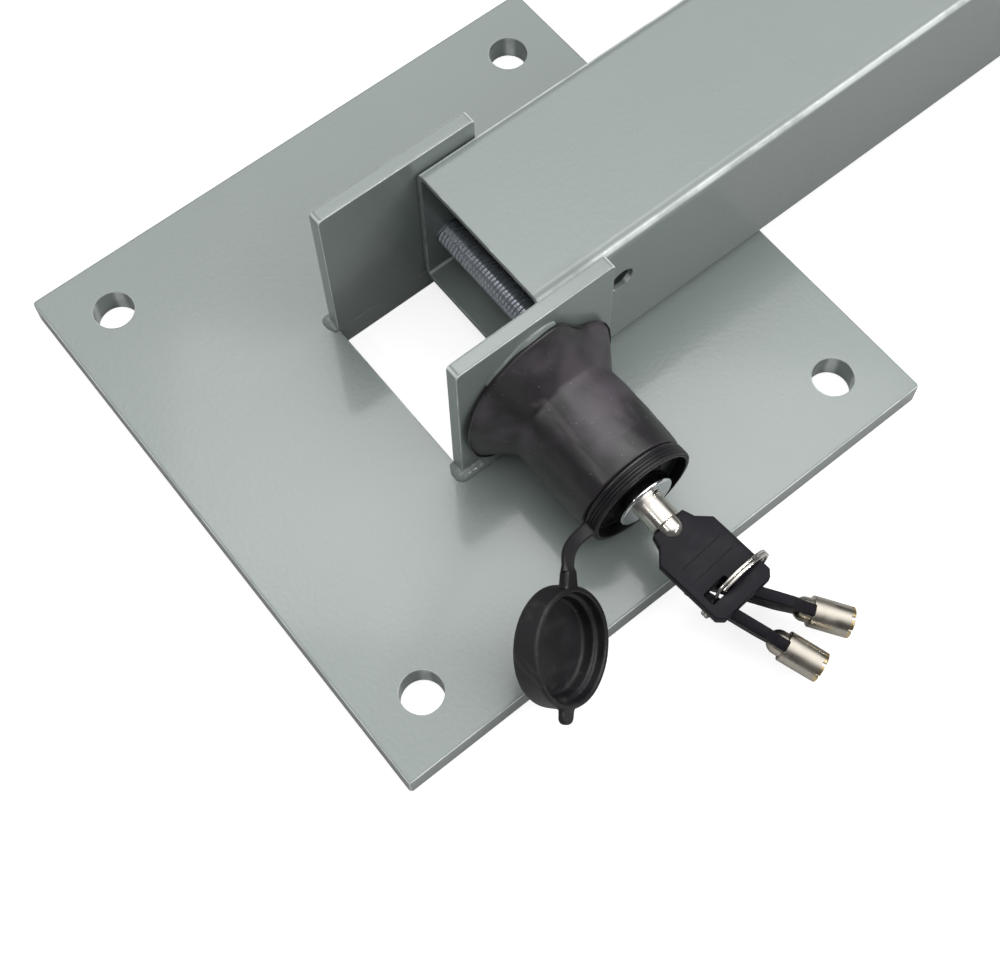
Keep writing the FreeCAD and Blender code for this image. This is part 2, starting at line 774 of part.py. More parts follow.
def make_dust_cap():
    """Cap with a neck block and a pull tab, its opening along local Z."""
    radius = read("cap_radius")
    wall = read("cap_wall")
    depth = read("cap_depth")
    roll = read("cap_edge_radius")
    floor = read("cap_floor") - depth
    ledge = radius - wall - read("cap_ledge_width")
    step = -read("cap_ledge_depth")
    bend = eased(roll)
    lip = read("rubber_edge_radius")
    cup = turned([
        (0, -depth),
        (radius - roll, -depth),
        ((radius - bend, bend - depth), (radius, roll - depth)),
        (radius, -lip),
        ((radius - eased(lip), -eased(lip)), (radius - lip, 0)),
        (radius - wall, 0),
        (radius - wall, step),
        (ledge, step),
        (ledge, floor),
        (0, floor),
    ])
    reach = radius - wall / 2
    neck_length = read("cap_neck_length") + wall / 2
    neck_height = read("cap_neck_height")
    neck_width = read("cap_neck_width")
    neck = Part.makeBox(neck_length, neck_width, neck_height, Vector(reach, -neck_width / 2, -neck_height))
    neck = neck.makeFillet(read("cap_neck_radius"), neck.Edges)
    tab_width = read("cap_tab_width")
    tab_thick = read("cap_tab_thickness")
    tab_length = read("cap_tab_length") + wall / 2 - tab_width / 2
    tab = Part.makeBox(tab_length, tab_width, tab_thick, Vector(-reach - tab_length, -tab_width / 2, -tab_thick))
    tab_end = Part.makeCylinder(tab_width / 2, tab_thick, Vector(-reach - tab_length, 0, -tab_thick))
    pull = tab.fuse(tab_end)
    pull.rotate(Vector(0, 0, 0), Vector(0, 0, 1), read("cap_tab_turn"))
    inside = Part.makeCylinder(radius - wall, depth, Vector(0, 0, step))
    ears = neck.fuse(pull).cut(inside)
    centre, facing, along = cap_frame()
    turn = Rotation(along, facing.cross(along), facing, "ZXY")
    solid_feature("dust_cap", cup.fuse(ears).removeSplitter(), Placement(centre, turn))


def make_collar_and_strap():
    """Ribbed collar on the boot's neck and the strap that holds the cap."""
    neck = read("housing_diameter") / 2 + read("boot_fit") + read("boot_neck_wall")
    inner = neck + read("boot_fit")
    outer = inner + read("collar_thickness")
    low = read("collar_start")
    high = read("collar_end")
    roll = read("rubber_edge_radius")
    points = [(inner, low), (outer - roll, low), ((outer - eased(roll), low + eased(roll)), (outer, low + roll))]
    count = int(read("collar_groove_count"))
    half = read("collar_groove_width") / 2
    depth = read("collar_groove_depth")
    for index in range(count):
        station = low + (high - low) * (index + 1) / (count + 1)
        points.append((outer, station - half))
        points.append(((outer - depth, station), (outer, station + half)))
    points += [(outer, high - roll), ((outer - eased(roll), high - eased(roll)), (outer - roll, high)), (inner, high)]
    solid_feature("dust_cap_collar", turned(points), LOCK_PLACE)
    centre, facing, along = cap_frame()
    start = Vector(read("lock_x") - outer - read("rubber_clearance") / 4, along_lock(size("strap_station")).value,
                   lock_z.value)
    reach = read("cap_radius") + read("cap_neck_length")
    end = centre + along * (reach + read("rubber_clearance") / 4) - facing * (read("cap_neck_height") / 2)
    bow = read("strap_bow")
    first = start + Vector(-1, 0, 0) * bow
    second = end + along * (bow * 0.45)
    curve = Part.BezierCurve()
    curve.setPoles([start, first, second, end])
    path = Part.Wire([curve.toShape()])
    half_width = read("strap_width") / 2
    half_thick = read("strap_thickness") / 2
    section = Part.Ellipse(Vector(0, 0, 0), half_width, half_thick).toShape()
    section.Placement = Placement(start, Rotation(Vector(0, 0, 1), Vector(-1, 0, 0)))
    strap = path.makePipeShell([Part.Wire([section])], True, False)
    solid_feature("dust_cap_strap", strap)


def make_lock():
    """Guide sleeve, sliding cylinder, core, plunger, spring and retaining screw."""
    play = read("running_play")
    barrel = read("cylinder_diameter") / 2
    face = read("cylinder_face")
    back = read("cylinder_back")
    key_radius = read("key_barrel_diameter") / 2 + play
    screw_at = read("screw_station")
    screw_hole = read("screw_diameter") / 2 + play
    housing_bore = read("housing_diameter") / 2 - read("housing_wall")
    sleeve_low = read("sleeve_start")
    sleeve_high = read("sleeve_end")
    sleeve = turned([(barrel + play, sleeve_low), (housing_bore - play, sleeve_low),
                     (housing_bore - play, sleeve_high), (barrel + play, sleeve_high)])
    hole = Part.makeCylinder(screw_hole, housing_bore, Vector(0, 0, screw_at), Vector(0, 1, 0))
    solid_feature("lock_sleeve", sleeve.cut(hole), LOCK_PLACE)

    core_floor = face - read("keyway_depth")
    chamfer = read("cylinder_back_chamfer")
    rim = read("cylinder_rim_radius")
    tube = turned([
        (0, back),
        (barrel - chamfer, back),
        (barrel, back + chamfer),
        (barrel, face - rim),
        ((barrel - eased(rim), face - eased(rim)), (barrel - rim, face)),
        (key_radius, face),
        (key_radius, core_floor),
        (0, core_floor),
    ])
    notch_width = read("keyway_notch_width")
    notch_depth = read("keyway_notch_depth")
    notch_reach = key_radius + read("keyway_notch_reach")
    notch = Part.makeBox(notch_width, notch_reach, notch_depth, Vector(-notch_width / 2, 0, face - notch_depth))
    notch.rotate(Vector(0, 0, 0), Vector(0, 0, 1), read("keyway_notch_turn"))
    slot_half = read("screw_tip_diameter") / 2 + read("screw_slot_play")
    travel = read("lock_travel")
    slot_depth = read("screw_slot_depth")
    slot = Part.makeBox(2 * slot_half, slot_depth + 1, travel + 2 * slot_half,
                        Vector(-slot_half, barrel - slot_depth, screw_at - slot_half))
    solid_feature("lock_cylinder", tube.cut([notch, slot]), LOCK_PLACE)

    tip = face - read("key_insertion")
    core_top = tip - read("core_pin_recess")
    pin = read("core_pin_diameter") / 2
    pin_top = face - read("core_pin_recess")
    pin_chamfer = read("core_pin_chamfer")
    core = turned([
        (0, core_floor + play),
        (key_radius - play, core_floor + play),
        (key_radius - play, core_top),
        (pin, core_top),
        (pin, pin_top - pin_chamfer),
        (pin - pin_chamfer, pin_top),
        (0, pin_top),
    ])
    solid_feature("lock_core", core, LOCK_PLACE)

    tip_station = -read("plunger_tip_setback")
    bolt = read("plunger_diameter") / 2
    chamfer = read("plunger_tip_chamfer")
    plunger = turned([(0, tip_station), (bolt - chamfer, tip_station), (bolt, tip_station + chamfer), (bolt, back),
                      (0, back)])
    solid_feature("lock_plunger", plunger, LOCK_PLACE)

    wire = read("spring_wire")
    gap = read("spring_end_gap")
    height = back - wire - 2 * gap
    turns = read("spring_turns")
    helix = Part.makeHelix(height / turns, height, read("spring_radius"))
    ring = Part.Wire([Part.Circle(Vector(read("spring_radius"), 0, 0), Vector(0, 1, 0), wire / 2).toShape()])
    coil = Part.Wire(helix.Edges).makePipeShell([ring], True, True)
    coil.translate(Vector(0, 0, gap + wire / 2))
    solid_feature("plunger_spring", coil, LOCK_PLACE)

    outer = read("housing_diameter") / 2 - read("screw_head_setback")
    shoulder = barrel + read("screw_shoulder_gap")
    thick = Part.makeCylinder(read("screw_diameter") / 2, outer - shoulder, Vector(0, shoulder, screw_at),
                              Vector(0, 1, 0))
    stub_foot = barrel - slot_depth + read("screw_head_setback")
    stub = Part.makeCylinder(read("screw_tip_diameter") / 2, shoulder - stub_foot, Vector(0, stub_foot, screw_at),
                             Vector(0, 1, 0))
    socket_depth = read("screw_socket_depth")
    socket = Part.makeCylinder(read("screw_socket_diameter") / 2, socket_depth,
                               Vector(0, outer - socket_depth, screw_at), Vector(0, 1, 0))
    solid_feature("retaining_screw", thick.fuse(stub).cut(socket), LOCK_PLACE)


def key_barrel_shape():
    """Tubular barrel with a notched tip, its rounded rear end forked over the bow."""
    radius = read("key_barrel_diameter") / 2
    inner = radius - read("key_barrel_wall")
    length = read("key_barrel_length")
    floor = -read("key_barrel_floor")
    fork = read("key_fork_length")
    end_radius = read("key_fork_end_radius")
    chamfer = read("key_barrel_chamfer")
    tube = turned([
        (0, floor),
        (inner, floor),
        (inner, -length),
        (radius - chamfer, -length),
        (radius, chamfer - length),
        (radius, 0),
        ((radius - (radius - end_radius) * 0.28, fork * 0.58), (end_radius, fork)),
        (0, fork),
    ])
    width = read("key_tip_notch_width")
    depth = read("key_tip_notch_depth")
    count = int(read("key_tip_notch_count"))
    gap = read("bow_thickness") + 2 * read("key_fork_play")
    cuts = [Part.makeBox(4 * radius, gap, 2 * fork, Vector(-2 * radius, -gap / 2, 0))]
    inset = read("key_tip_notch_inset")
    for index in range(count):
        cutter = Part.makeBox(2 * inset, width, depth, Vector(radius - inset, -width / 2, -length))
        cutter.rotate(Vector(0, 0, 0), Vector(0, 0, 1), 360.0 * index / count)
        cuts.append(cutter)
    return tube.cut(cuts)


def make_key_barrel(label, placement):
    """Nickel key barrel at its place."""
    solid_feature(label, key_barrel_shape(), placement)


def make_key_bow(label, placement):
    """Black plastic bow with a shallow band on both faces and a ring slot."""
    body = new_body(label)
    profile = sketch_on(body, "XZ_Plane", label + "_profile")
    half = size("bow_width") / 2
    front = size("bow_front_width") / 2
    waist = size("bow_waist_width") / 2
    cut = size("bow_end_cut")
    length = size("bow_length")
    right = [(front, 0), (waist, size("bow_waist")), (half, size("bow_shoulder")), (half, length - cut),
             (half - cut, length)]
    left = [(-x, y) for x, y in reversed(right[1:])]
    left.append((-front, 0))
    outline(profile, right + left)
    plate = pad(body, profile, size("bow_thickness"), label + "_pad", both_ways=True)
    corners = edge_names(plate.Shape, lambda a, b: abs(a.y - b.y) > 1 and min(a.z, b.z) > read("bow_waist") - 0.1)
    round_edges(body, plate, corners, size("bow_corner_radius"), label + "_corners")
    slot = sketch_on(body, "XZ_Plane", label + "_slot_profile")
    slot_low = size("bow_slot_margin") - half
    rectangle(slot, slot_low, size("bow_slot_start"), slot_low + size("bow_slot_length"),
              size("bow_slot_start") + size("bow_slot_width"))
    cut_through(body, slot, label + "_slot")
    band_half = size("bow_band_length") / 2
    for number, side in ((1, 1), (2, -1)):
        band = sketch_on(body, "XZ_Plane", "%s_band_profile_%d" % (label, number))
        rectangle(band, -band_half, size("bow_band_start"), band_half, size("bow_band_start") + size("bow_band_width"))
        depth = size("bow_band_depth")
        level = size("bow_thickness") / 2
        bind(band, "AttachmentOffset.Base.z", level if side > 0 else depth - level)
        cut_to_depth(body, band, depth, "%s_band_%d" % (label, number))
    body.Placement = placement


def bow_in_lock():
    """Place of the bow of the key in the lock, a little askew in its fork."""
    front = read("cylinder_face") - read("key_insertion") + read("key_barrel_length")
    skew = Placement(Vector(0, 0, front + read("bow_front_gap")), Rotation(Vector(0, 1, 0), read("bow_skew")))
    return LOCK_PLACE.multiply(skew)


def ring_place():
    """Place of the split ring, its axis along local Z; it hangs in the bow's slot."""
    station = read("bow_slot_start") + read("bow_slot_width") / 2 + read("ring_along")
    hang = Placement(Vector(0, 0, station), Rotation(Vector(1, 0, 0), read("ring_tilt")))
    drop = Placement(Vector(read("ring_offset"), -read("ring_drop"), 0), Rotation())
    return bow_in_lock().multiply(hang).multiply(drop)


def make_key_ring():
    """Flat split ring of two turns, drawn as one band with the seam between the turns."""
    radius = read("ring_radius")
    half_thick = read("ring_thickness") / 2
    half_width = read("ring_width") / 2
    seam = read("ring_seam_width") / 2
    deep = read("ring_seam_depth")
    low = radius - half_thick
    high = radius + half_thick
    band = turned([
        (low, -half_width), (high, -half_width), (high, -seam), (high - deep, 0), (high, seam), (high, half_width),
        (low, half_width), (low, seam), (low + deep, 0), (low, -seam),
    ])
    solid_feature("key_ring", band, ring_place())


def spare_place(prefix):
    """Place of a spare key whose slot hangs on the ring."""
    turn = math.radians(read(prefix + "_place"))
    yaw = math.radians(read(prefix + "_yaw"))
    dip = math.radians(read(prefix + "_dip"))
    roll = math.radians(read(prefix + "_roll"))
    radius = read("ring_radius")
    hook = ring_place().multVec(Vector(math.cos(turn) * radius, math.sin(turn) * radius, 0))
    tip_way = Vector(math.sin(yaw) * math.cos(dip), -math.cos(yaw) * math.cos(dip), -math.sin(dip))
    down = (Vector(0, 0, -1) + tip_way * (Vector(0, 0, 1).dot(tip_way))).normalize()
    width_way = down * math.cos(roll) + tip_way.cross(down) * math.sin(roll)
    across = width_way * -1
    outward = tip_way * -1
    slot_middle = read("bow_front_gap") + read("bow_slot_start") + read("bow_slot_width") / 2 - read(prefix + "_slip")
    slot_side = read("bow_slot_margin") + read("bow_slot_length") / 2 - read("bow_width") / 2
    origin = hook - across * slot_side - outward * slot_middle
    return Placement(origin, Rotation(across, outward.cross(across), outward, "ZXY"))


def make_keys():
    """The key in the lock and the two spare keys on the ring."""
    front = read("cylinder_face") - read("key_insertion") + read("key_barrel_length")
    make_key_barrel("key_barrel", LOCK_PLACE.multiply(Placement(Vector(0, 0, front), Rotation())))
    make_key_bow("key_bow", bow_in_lock())
    make_key_ring()
    step = Placement(Vector(0, 0, read("bow_front_gap")), Rotation())
    for label, prefix in (("spare_key_1", "spare_near"), ("spare_key_2", "spare_far")):
        spot = spare_place(prefix)
        make_key_barrel(label + "_barrel", spot)
        make_key_bow(label + "_bow", spot.multiply(step))


SUB_PARTS = [
    "base_plate", "near_lug", "far_lug", "near_lug_weld", "far_lug_weld", "post_tube", "post_end_plug",
    "pivot_bolt", "pivot_washer", "lock_housing", "housing_weld", "rubber_boot", "dust_cap_collar",
    "dust_cap_strap", "dust_cap", "lock_sleeve", "lock_cylinder", "lock_core", "lock_plunger",
    "plunger_spring", "retaining_screw", "key_barrel", "key_bow", "key_ring", "spare_key_1_barrel",
    "spare_key_1_bow", "spare_key_2_barrel", "spare_key_2_bow",
]

make_base_plate()
make_lug("near_lug", -lug_inner, plunger=True)
make_lug("far_lug", lug_outer, plunger=False)
make_lug_weld("near_lug_weld", -1)
make_lug_weld("far_lug_weld", 1)
make_post_tube()
make_end_plug()
make_pivot()
make_lock_housing()
make_rubber_boot()
make_collar_and_strap()
make_dust_cap()
make_lock()
make_keys()
doc.recompute()

for item in doc.Objects:
    if "Invalid" in item.State or "Error" in item.State:
        raise RuntimeError("%s failed to build" % item.Label)

os.makedirs("parts", exist_ok=True)
for label in SUB_PARTS:
    part = doc.getObjectsByLabel(label)[0]
    if part.Shape.isNull() or not part.Shape.isValid():
        raise RuntimeError("%s has no valid shape" % label)
    part.Shape.exportStep("parts/%s.step" % label)
    print("%-20s %10.1f mm3, %d solid(s)" % (label, part.Shape.Volume, len(part.Shape.Solids)))
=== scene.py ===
import math

import bmesh
import bpy
from mathutils import Matrix, Vector, noise


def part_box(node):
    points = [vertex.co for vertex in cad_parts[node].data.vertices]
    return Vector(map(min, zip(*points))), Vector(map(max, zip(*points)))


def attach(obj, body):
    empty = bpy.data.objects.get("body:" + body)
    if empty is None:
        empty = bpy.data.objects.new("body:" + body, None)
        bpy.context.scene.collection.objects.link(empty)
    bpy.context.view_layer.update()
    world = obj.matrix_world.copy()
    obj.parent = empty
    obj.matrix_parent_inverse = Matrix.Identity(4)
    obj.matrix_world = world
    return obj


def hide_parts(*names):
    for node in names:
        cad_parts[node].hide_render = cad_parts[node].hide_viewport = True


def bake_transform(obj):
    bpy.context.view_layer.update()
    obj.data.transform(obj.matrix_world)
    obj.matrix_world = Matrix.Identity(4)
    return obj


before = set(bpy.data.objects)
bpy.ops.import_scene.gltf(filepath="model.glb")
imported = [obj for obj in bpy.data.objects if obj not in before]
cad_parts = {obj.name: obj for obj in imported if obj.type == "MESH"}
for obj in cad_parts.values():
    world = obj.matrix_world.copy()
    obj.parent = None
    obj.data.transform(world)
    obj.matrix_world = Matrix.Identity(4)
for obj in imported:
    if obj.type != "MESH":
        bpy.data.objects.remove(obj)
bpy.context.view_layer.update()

# Dressed model of the fold-down parking post. Metres, in the CAD frame.
MM = 0.001
WORLD_UP = Vector((0, 0, 1))
WORLD_OUT = Vector((0, -1, 0))   # away from the near lug, along the lock
SAME_SPOT = 0.001 * MM           # vertices nearer than this are one


def node_box(name):
    """Low and high corner of a CAD node as vectors."""
    low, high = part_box(name)
    return Vector(low), Vector(high)


plate_low, plate_high = node_box("base_plate")
plate_top = plate_high.z
near_low, near_high = node_box("near_lug")
far_low, far_high = node_box("far_lug")
lug_face = near_low.y
cylinder_low, cylinder_high = node_box("lock_cylinder")
lock_x = (cylinder_low.x + cylinder_high.x) / 2
lock_z = (cylinder_low.z + cylinder_high.z) / 2
washer_low, washer_high = node_box("pivot_washer")
pivot_x = (washer_low.x + washer_high.x) / 2
pivot_z = (washer_low.z + washer_high.z) / 2


def lock_point(x, y, station):
    """Point in the lock's own frame: x along +X, y up, station outward from the near lug."""
    return Vector((lock_x + x, lug_face - station, lock_z + y))


def direction(yaw, dip):
    """Unit vector a yaw round from -Y towards +X and a dip below level, in degrees."""
    yaw, dip = math.radians(yaw), math.radians(dip)
    return Vector((math.sin(yaw) * math.cos(dip), -math.cos(yaw) * math.cos(dip), -math.sin(dip)))


# Materials

class Surface:
    """A principled material put together from small procedural layers."""

    def __init__(self, name, color, roughness, metallic=0.0):
        self.material = bpy.data.materials.new(name)
        self.material.use_nodes = True
        self.tree = self.material.node_tree
        self.shader = self.tree.nodes["Principled BSDF"]
        self.set("Base Color", (*color, 1))
        self.set("Roughness", roughness)
        self.set("Metallic", metallic)
        self.where = self.node("ShaderNodeTexCoord").outputs["Object"]
        self.height = None

    def set(self, socket, value):
        """Set a plain value on the shader."""
        self.shader.inputs[socket].default_value = value

    def node(self, kind, **settings):
        """New node with its settings."""
        item = self.tree.nodes.new(kind)
        for key, value in settings.items():
            setattr(item, key, value)
        return item

    def feed(self, item, socket, value):
        """Plug a socket in, or set a plain value."""
        if isinstance(value, bpy.types.NodeSocket):
            self.tree.links.new(value, item.inputs[socket])
        else:
            item.inputs[socket].default_value = value

    def math(self, operation, first, second=0.0):
        """Outcome of a calculation with one or two values."""
        item = self.node("ShaderNodeMath", operation=operation)
        self.feed(item, 0, first)
        self.feed(item, 1, second)
        return item.outputs[0]

    def noise(self, scale, detail=3.0, stretch=(1, 1, 1), shift=0.0):
        """Noise field in metres; scale is features per metre."""
        spot = self.node("ShaderNodeMapping")
        self.feed(spot, "Vector", self.where)
        spot.inputs["Scale"].default_value = stretch
        spot.inputs["Location"].default_value = (shift, shift * 2, shift * 3)
        item = self.node("ShaderNodeTexNoise")
        self.feed(item, "Vector", spot.outputs[0])
        item.inputs["Scale"].default_value = scale
        item.inputs["Detail"].default_value = detail
        return item.outputs["Fac"]

    def span(self, value, low, high, to_low=0.0, to_high=1.0):
        """Value from low to high, brought smoothly to another range."""
        item = self.node("ShaderNodeMapRange", interpolation_type="SMOOTHSTEP")
        self.feed(item, "Value", value)
        for socket, number in (("From Min", low), ("From Max", high),
                               ("To Min", to_low), ("To Max", to_high)):
            item.inputs[socket].default_value = number
        return item.outputs[0]

    def tint(self, factor, color):
        """Lay a colour over what the shader has, by a factor."""
        base = self.shader.inputs["Base Color"]
        item = self.node("ShaderNodeMix", data_type="RGBA")
        self.feed(item, 0, factor)
        if base.is_linked:
            self.tree.links.new(base.links[0].from_socket, item.inputs[6])
        else:
            item.inputs[6].default_value = base.default_value
        item.inputs[7].default_value = (*color, 1)
        self.tree.links.new(item.outputs[2], base)

    def rough(self, value):
        """Give the roughness by a field."""
        self.feed(self.shader, "Roughness", value)

    def relief(self, value, depth):
        """Add a height in metres to the surface's relief."""
        layer = self.math("MULTIPLY", value, depth)
        self.height = layer if self.height is None else self.math("ADD", self.height, layer)

    def edges(self, radius):
        """Mask of the convex and concave edges within a radius, and the softened normal."""
        bevel = self.node("ShaderNodeBevel", samples=6)
        bevel.inputs["Radius"].default_value = radius
        flat = self.node("ShaderNodeNewGeometry").outputs["Normal"]
        item = self.node("ShaderNodeVectorMath", operation="DOT_PRODUCT")
        self.feed(item, 0, bevel.outputs[0])
        self.feed(item, 1, flat)
        smooth_dot, sharp_dot = 0.995, 0.88
        return self.span(item.outputs["Value"], smooth_dot, sharp_dot), bevel.outputs[0]

    def rim(self):
        """Mask of the rounded edges of a square-cut solid, by the object's own normal."""
        parts = self.node("ShaderNodeSeparateXYZ")
        self.feed(parts, 0, self.where.node.outputs["Normal"])
        x, y, z = (self.math("ABSOLUTE", output) for output in parts.outputs)
        largest = self.math("MAXIMUM", self.math("MAXIMUM", x, y), z)
        square_on, slanting = 0.93, 0.78
        return self.span(largest, square_on, slanting)

    def done(self, normal=None):
        """Join the relief to the shader and hand the material over."""
        if self.height is not None:
            bump = self.node("ShaderNodeBump")
            bump.inputs["Strength"].default_value = 1.0
            bump.inputs["Distance"].default_value = 1.0
            self.feed(bump, "Height", self.height)
            if normal is not None:
                self.feed(bump, "Normal", normal)
            self.feed(self.shader, "Normal", bump.outputs[0])
        elif normal is not None:
            self.feed(self.shader, "Normal", normal)
        return self.material


def make_paint(name, edge):
    """Satin grey-green powder coat: orange peel, faint clouding, specks, worn edges that are partly
    a painted highlight, and a painted highlight along the rounded edges.
    """
    coat, light_coat = (0.252, 0.295, 0.279), (0.275, 0.317, 0.303)
    dirt, worn_and_highlit_coat, bright_edge = (0.12, 0.14, 0.13), (0.72, 0.78, 0.76), (0.85, 0.9, 0.89)
    peel, grain = 0.075 * MM, 0.03 * MM
    paint = Surface(name, coat, 0.28)
    mask, normal = paint.edges(0.9 * MM)
    paint.tint(paint.noise(30, 6), light_coat)
    fine = paint.noise(620, 1, shift=3)
    speck = paint.span(paint.noise(700, 1, shift=7), 0.76, 0.8)
    paint.tint(paint.math("MULTIPLY", speck, 0.3), dirt)
    # edges lightened by the bevel mask: partly worn paint, partly a painted highlight
    wear_and_highlight_patches = paint.span(paint.noise(110, 5, shift=5), 0.45, 0.62, 0.2, 1.0)
    paint.tint(paint.math("MULTIPLY", mask, wear_and_highlight_patches), worn_and_highlit_coat)
    # painted highlight: the rounded edges tinted near white, broken up by noise; edge sets its
    # strength
    if edge:
        edge_highlight_breakup = paint.span(paint.noise(90, 5, shift=11), 0.36, 0.6, 0.55 * edge, edge)
        paint.tint(paint.math("MULTIPLY", paint.rim(), edge_highlight_breakup), bright_edge)
    paint.relief(fine, peel)
    paint.relief(paint.noise(1400, 1, shift=2), grain)
    paint.set("Coat Weight", 0.6)
    paint.set("Coat Roughness", 0.1)
    return paint.done(normal)


def make_rubber(name, dark, dusty, wear):
    """Dusty black rubber: mauve-grey bloom, scuffs round the barrel and pale specks."""
    lengthwise_scuff, cross_scuff = (0.13, 0.118, 0.118), (0.12, 0.112, 0.12)
    grit = (0.3, 0.29, 0.29)
    grain, unevenness = 0.02 * MM, 0.07 * MM
    rubber = Surface(name, dark, 0.5)
    rubber.set("Specular IOR Level", 0.3 + 0.4 * wear)
    bloom = rubber.noise(55, 4)
    rubber.tint(rubber.span(bloom, 0.38, 0.68), dusty)
    scuff = rubber.span(rubber.noise(210, 5, stretch=(1, 0.12, 1), shift=4), 0.6, 0.72)
    rubber.tint(rubber.math("MULTIPLY", scuff, 0.3 * wear), lengthwise_scuff)
    cross = rubber.span(rubber.noise(150, 5, stretch=(0.15, 1, 0.15), shift=8), 0.63, 0.74)
    rubber.tint(rubber.math("MULTIPLY", cross, 0.22 * wear), cross_scuff)
    speck = rubber.span(rubber.noise(900, 1, shift=6), 0.755, 0.785)
    rubber.tint(rubber.math("MULTIPLY", speck, 0.5 * wear), grit)
    rubber.rough(rubber.span(bloom, 0.3, 0.7, 0.33, 0.54))
    rubber.relief(rubber.noise(900, 3, shift=1), grain)
    rubber.relief(rubber.noise(130, 3, shift=12), unevenness)
    return rubber.done()


def make_plastic():
    """Satin black moulded plastic with a fine grain and lighter edges."""
    black, cloudy_black = (0.01, 0.0085, 0.013), (0.018, 0.0165, 0.02)
    pale_edge = (0.075, 0.07, 0.075)
    grain = 0.009 * MM
    plastic = Surface("plastic", black, 0.38)
    plastic.set("Specular IOR Level", 0.14)
    mask, normal = plastic.edges(0.28 * MM)
    plastic.tint(plastic.math("MULTIPLY", mask, 0.5), pale_edge)
    cloud = plastic.noise(160, 4)
    plastic.tint(plastic.span(cloud, 0.45, 0.7, 0, 0.4), cloudy_black)
    plastic.rough(plastic.span(cloud, 0.3, 0.7, 0.32, 0.46))
    plastic.relief(plastic.noise(1800, 2, shift=3), grain)
    return plastic.done(normal)


def make_metal(name, color, low_rough, high_rough, grain=0.004 * MM, metallic=1.0):
    """Bare metal with a little handling haze and a fine grain."""
    dull, bright = tuple(c * 0.6 for c in color), tuple(min(1.0, c * 1.25) for c in color)
    metal = Surface(name, color, low_rough, metallic)
    haze = metal.noise(120, 4)
    metal.rough(metal.span(haze, 0.35, 0.7, low_rough, high_rough))
    metal.tint(metal.span(metal.noise(260, 3, shift=5), 0.55, 0.75, 0, 0.25), dull)
    metal.relief(metal.noise(700, 2, shift=2), grain)
    mask, normal = metal.edges(0.15 * MM)
    metal.tint(metal.math("MULTIPLY", mask, 0.5), bright)
    return metal.done(normal)


def make_key_metal(name, color, node=None, way=None):
    """Nickel of a key barrel; a spare key's notched tip shows the brass under the plating."""
    dull = tuple(c * 0.72 for c in color)
    bare_brass, bright_edge = (0.7, 0.55, 0.3), (0.95, 0.93, 0.88)
    raggedness, grain = 0.8 * MM, 0.003 * MM
    metal = Surface(name, color, 0.2, 1.0)
    haze = metal.noise(150, 4)
    metal.rough(metal.span(haze, 0.35, 0.7, 0.2, 0.36))
    metal.tint(metal.span(metal.noise(240, 3, shift=4), 0.5, 0.75, 0, 0.3), dull)
    if node is not None:
        tip = max(vertex.co.dot(way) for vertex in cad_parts[node].data.vertices)
        along = metal.node("ShaderNodeVectorMath", operation="DOT_PRODUCT")
        metal.feed(along, 0, metal.where)
        along.inputs[1].default_value = way
        ragged = metal.math("MULTIPLY", metal.noise(500, 2, shift=9), raggedness)
        reach = metal.math("ADD", along.outputs["Value"], ragged)
        plated, bare = tip - 1.6 * MM, tip - 0.6 * MM
        metal.tint(metal.span(reach, plated, bare), bare_brass)
    metal.relief(metal.noise(900, 2, shift=2), grain)
    mask, normal = metal.edges(0.2 * MM)
    metal.tint(metal.math("MULTIPLY", mask, 0.4), bright_edge)
    return metal.done(normal)


# second number: strength of the painted edge highlight; the weld beads get none
paint = make_paint("paint", 1.0)
weld_paint = make_paint("weld_paint", 0.0)
rubber = make_rubber("rubber", (0.018, 0.0155, 0.018), (0.076, 0.064, 0.076), 1.0)
cap_rubber = make_rubber("cap_rubber", (0.008, 0.0072, 0.0088), (0.017, 0.0152, 0.0175), 0.5)
# near-black rubber for the inside of the boot's mouth: painted shade in the recess
mouth_painted_shade = make_rubber("mouth_painted_shade", (0.003, 0.003, 0.003), (0.005, 0.005, 0.005), 0.2)
plastic = make_plastic()
zinc = make_metal("zinc", (0.55, 0.58, 0.63), 0.22, 0.4)
thread_zinc = make_metal("thread_zinc", (0.72, 0.75, 0.82), 0.2, 0.3, metallic=0.85)
dark_steel = make_metal("dark_steel", (0.07, 0.07, 0.075), 0.35, 0.5)
chrome = make_metal("chrome", (0.82, 0.83, 0.85), 0.05, 0.14, grain=0.001 * MM)
ring_steel = make_metal("ring_steel", (0.78, 0.745, 0.7), 0.14, 0.28, grain=0.002 * MM)
key_nickel = make_key_metal("key_nickel", (0.8, 0.765, 0.7))
# ways in which the spare keys point, also for their places on the ring
near_spare_way = direction(37.6, 10.4)
far_spare_way = direction(22.2, 11.4)
worn_nickel = (0.56, 0.52, 0.45)
near_spare_metal = make_key_metal("spare_nickel_1", worn_nickel, "spare_key_1_barrel",
                                  near_spare_way)
far_spare_metal = make_key_metal("spare_nickel_2", worn_nickel, "spare_key_2_barrel",
                                 far_spare_way)

NODE_MATERIALS = {
    "base_plate": paint, "near_lug": paint, "far_lug": paint, "post_tube": paint,
    "lock_housing": paint, "post_end_plug": plastic, "pivot_washer": zinc,
    "lock_plunger": zinc, "plunger_spring": zinc, "lock_sleeve": dark_steel,
    "lock_core": dark_steel, "retaining_screw": dark_steel, "lock_cylinder": chrome,
}


def dress(node, material):
    """Give a CAD node its material on every slot."""
    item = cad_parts[node]
    if not item.material_slots:
        item.data.materials.append(material)
    for slot in item.material_slots:
        slot.link = "OBJECT"
        slot.material = material


for node_name, node_material in NODE_MATERIALS.items():
    dress(node_name, node_material)


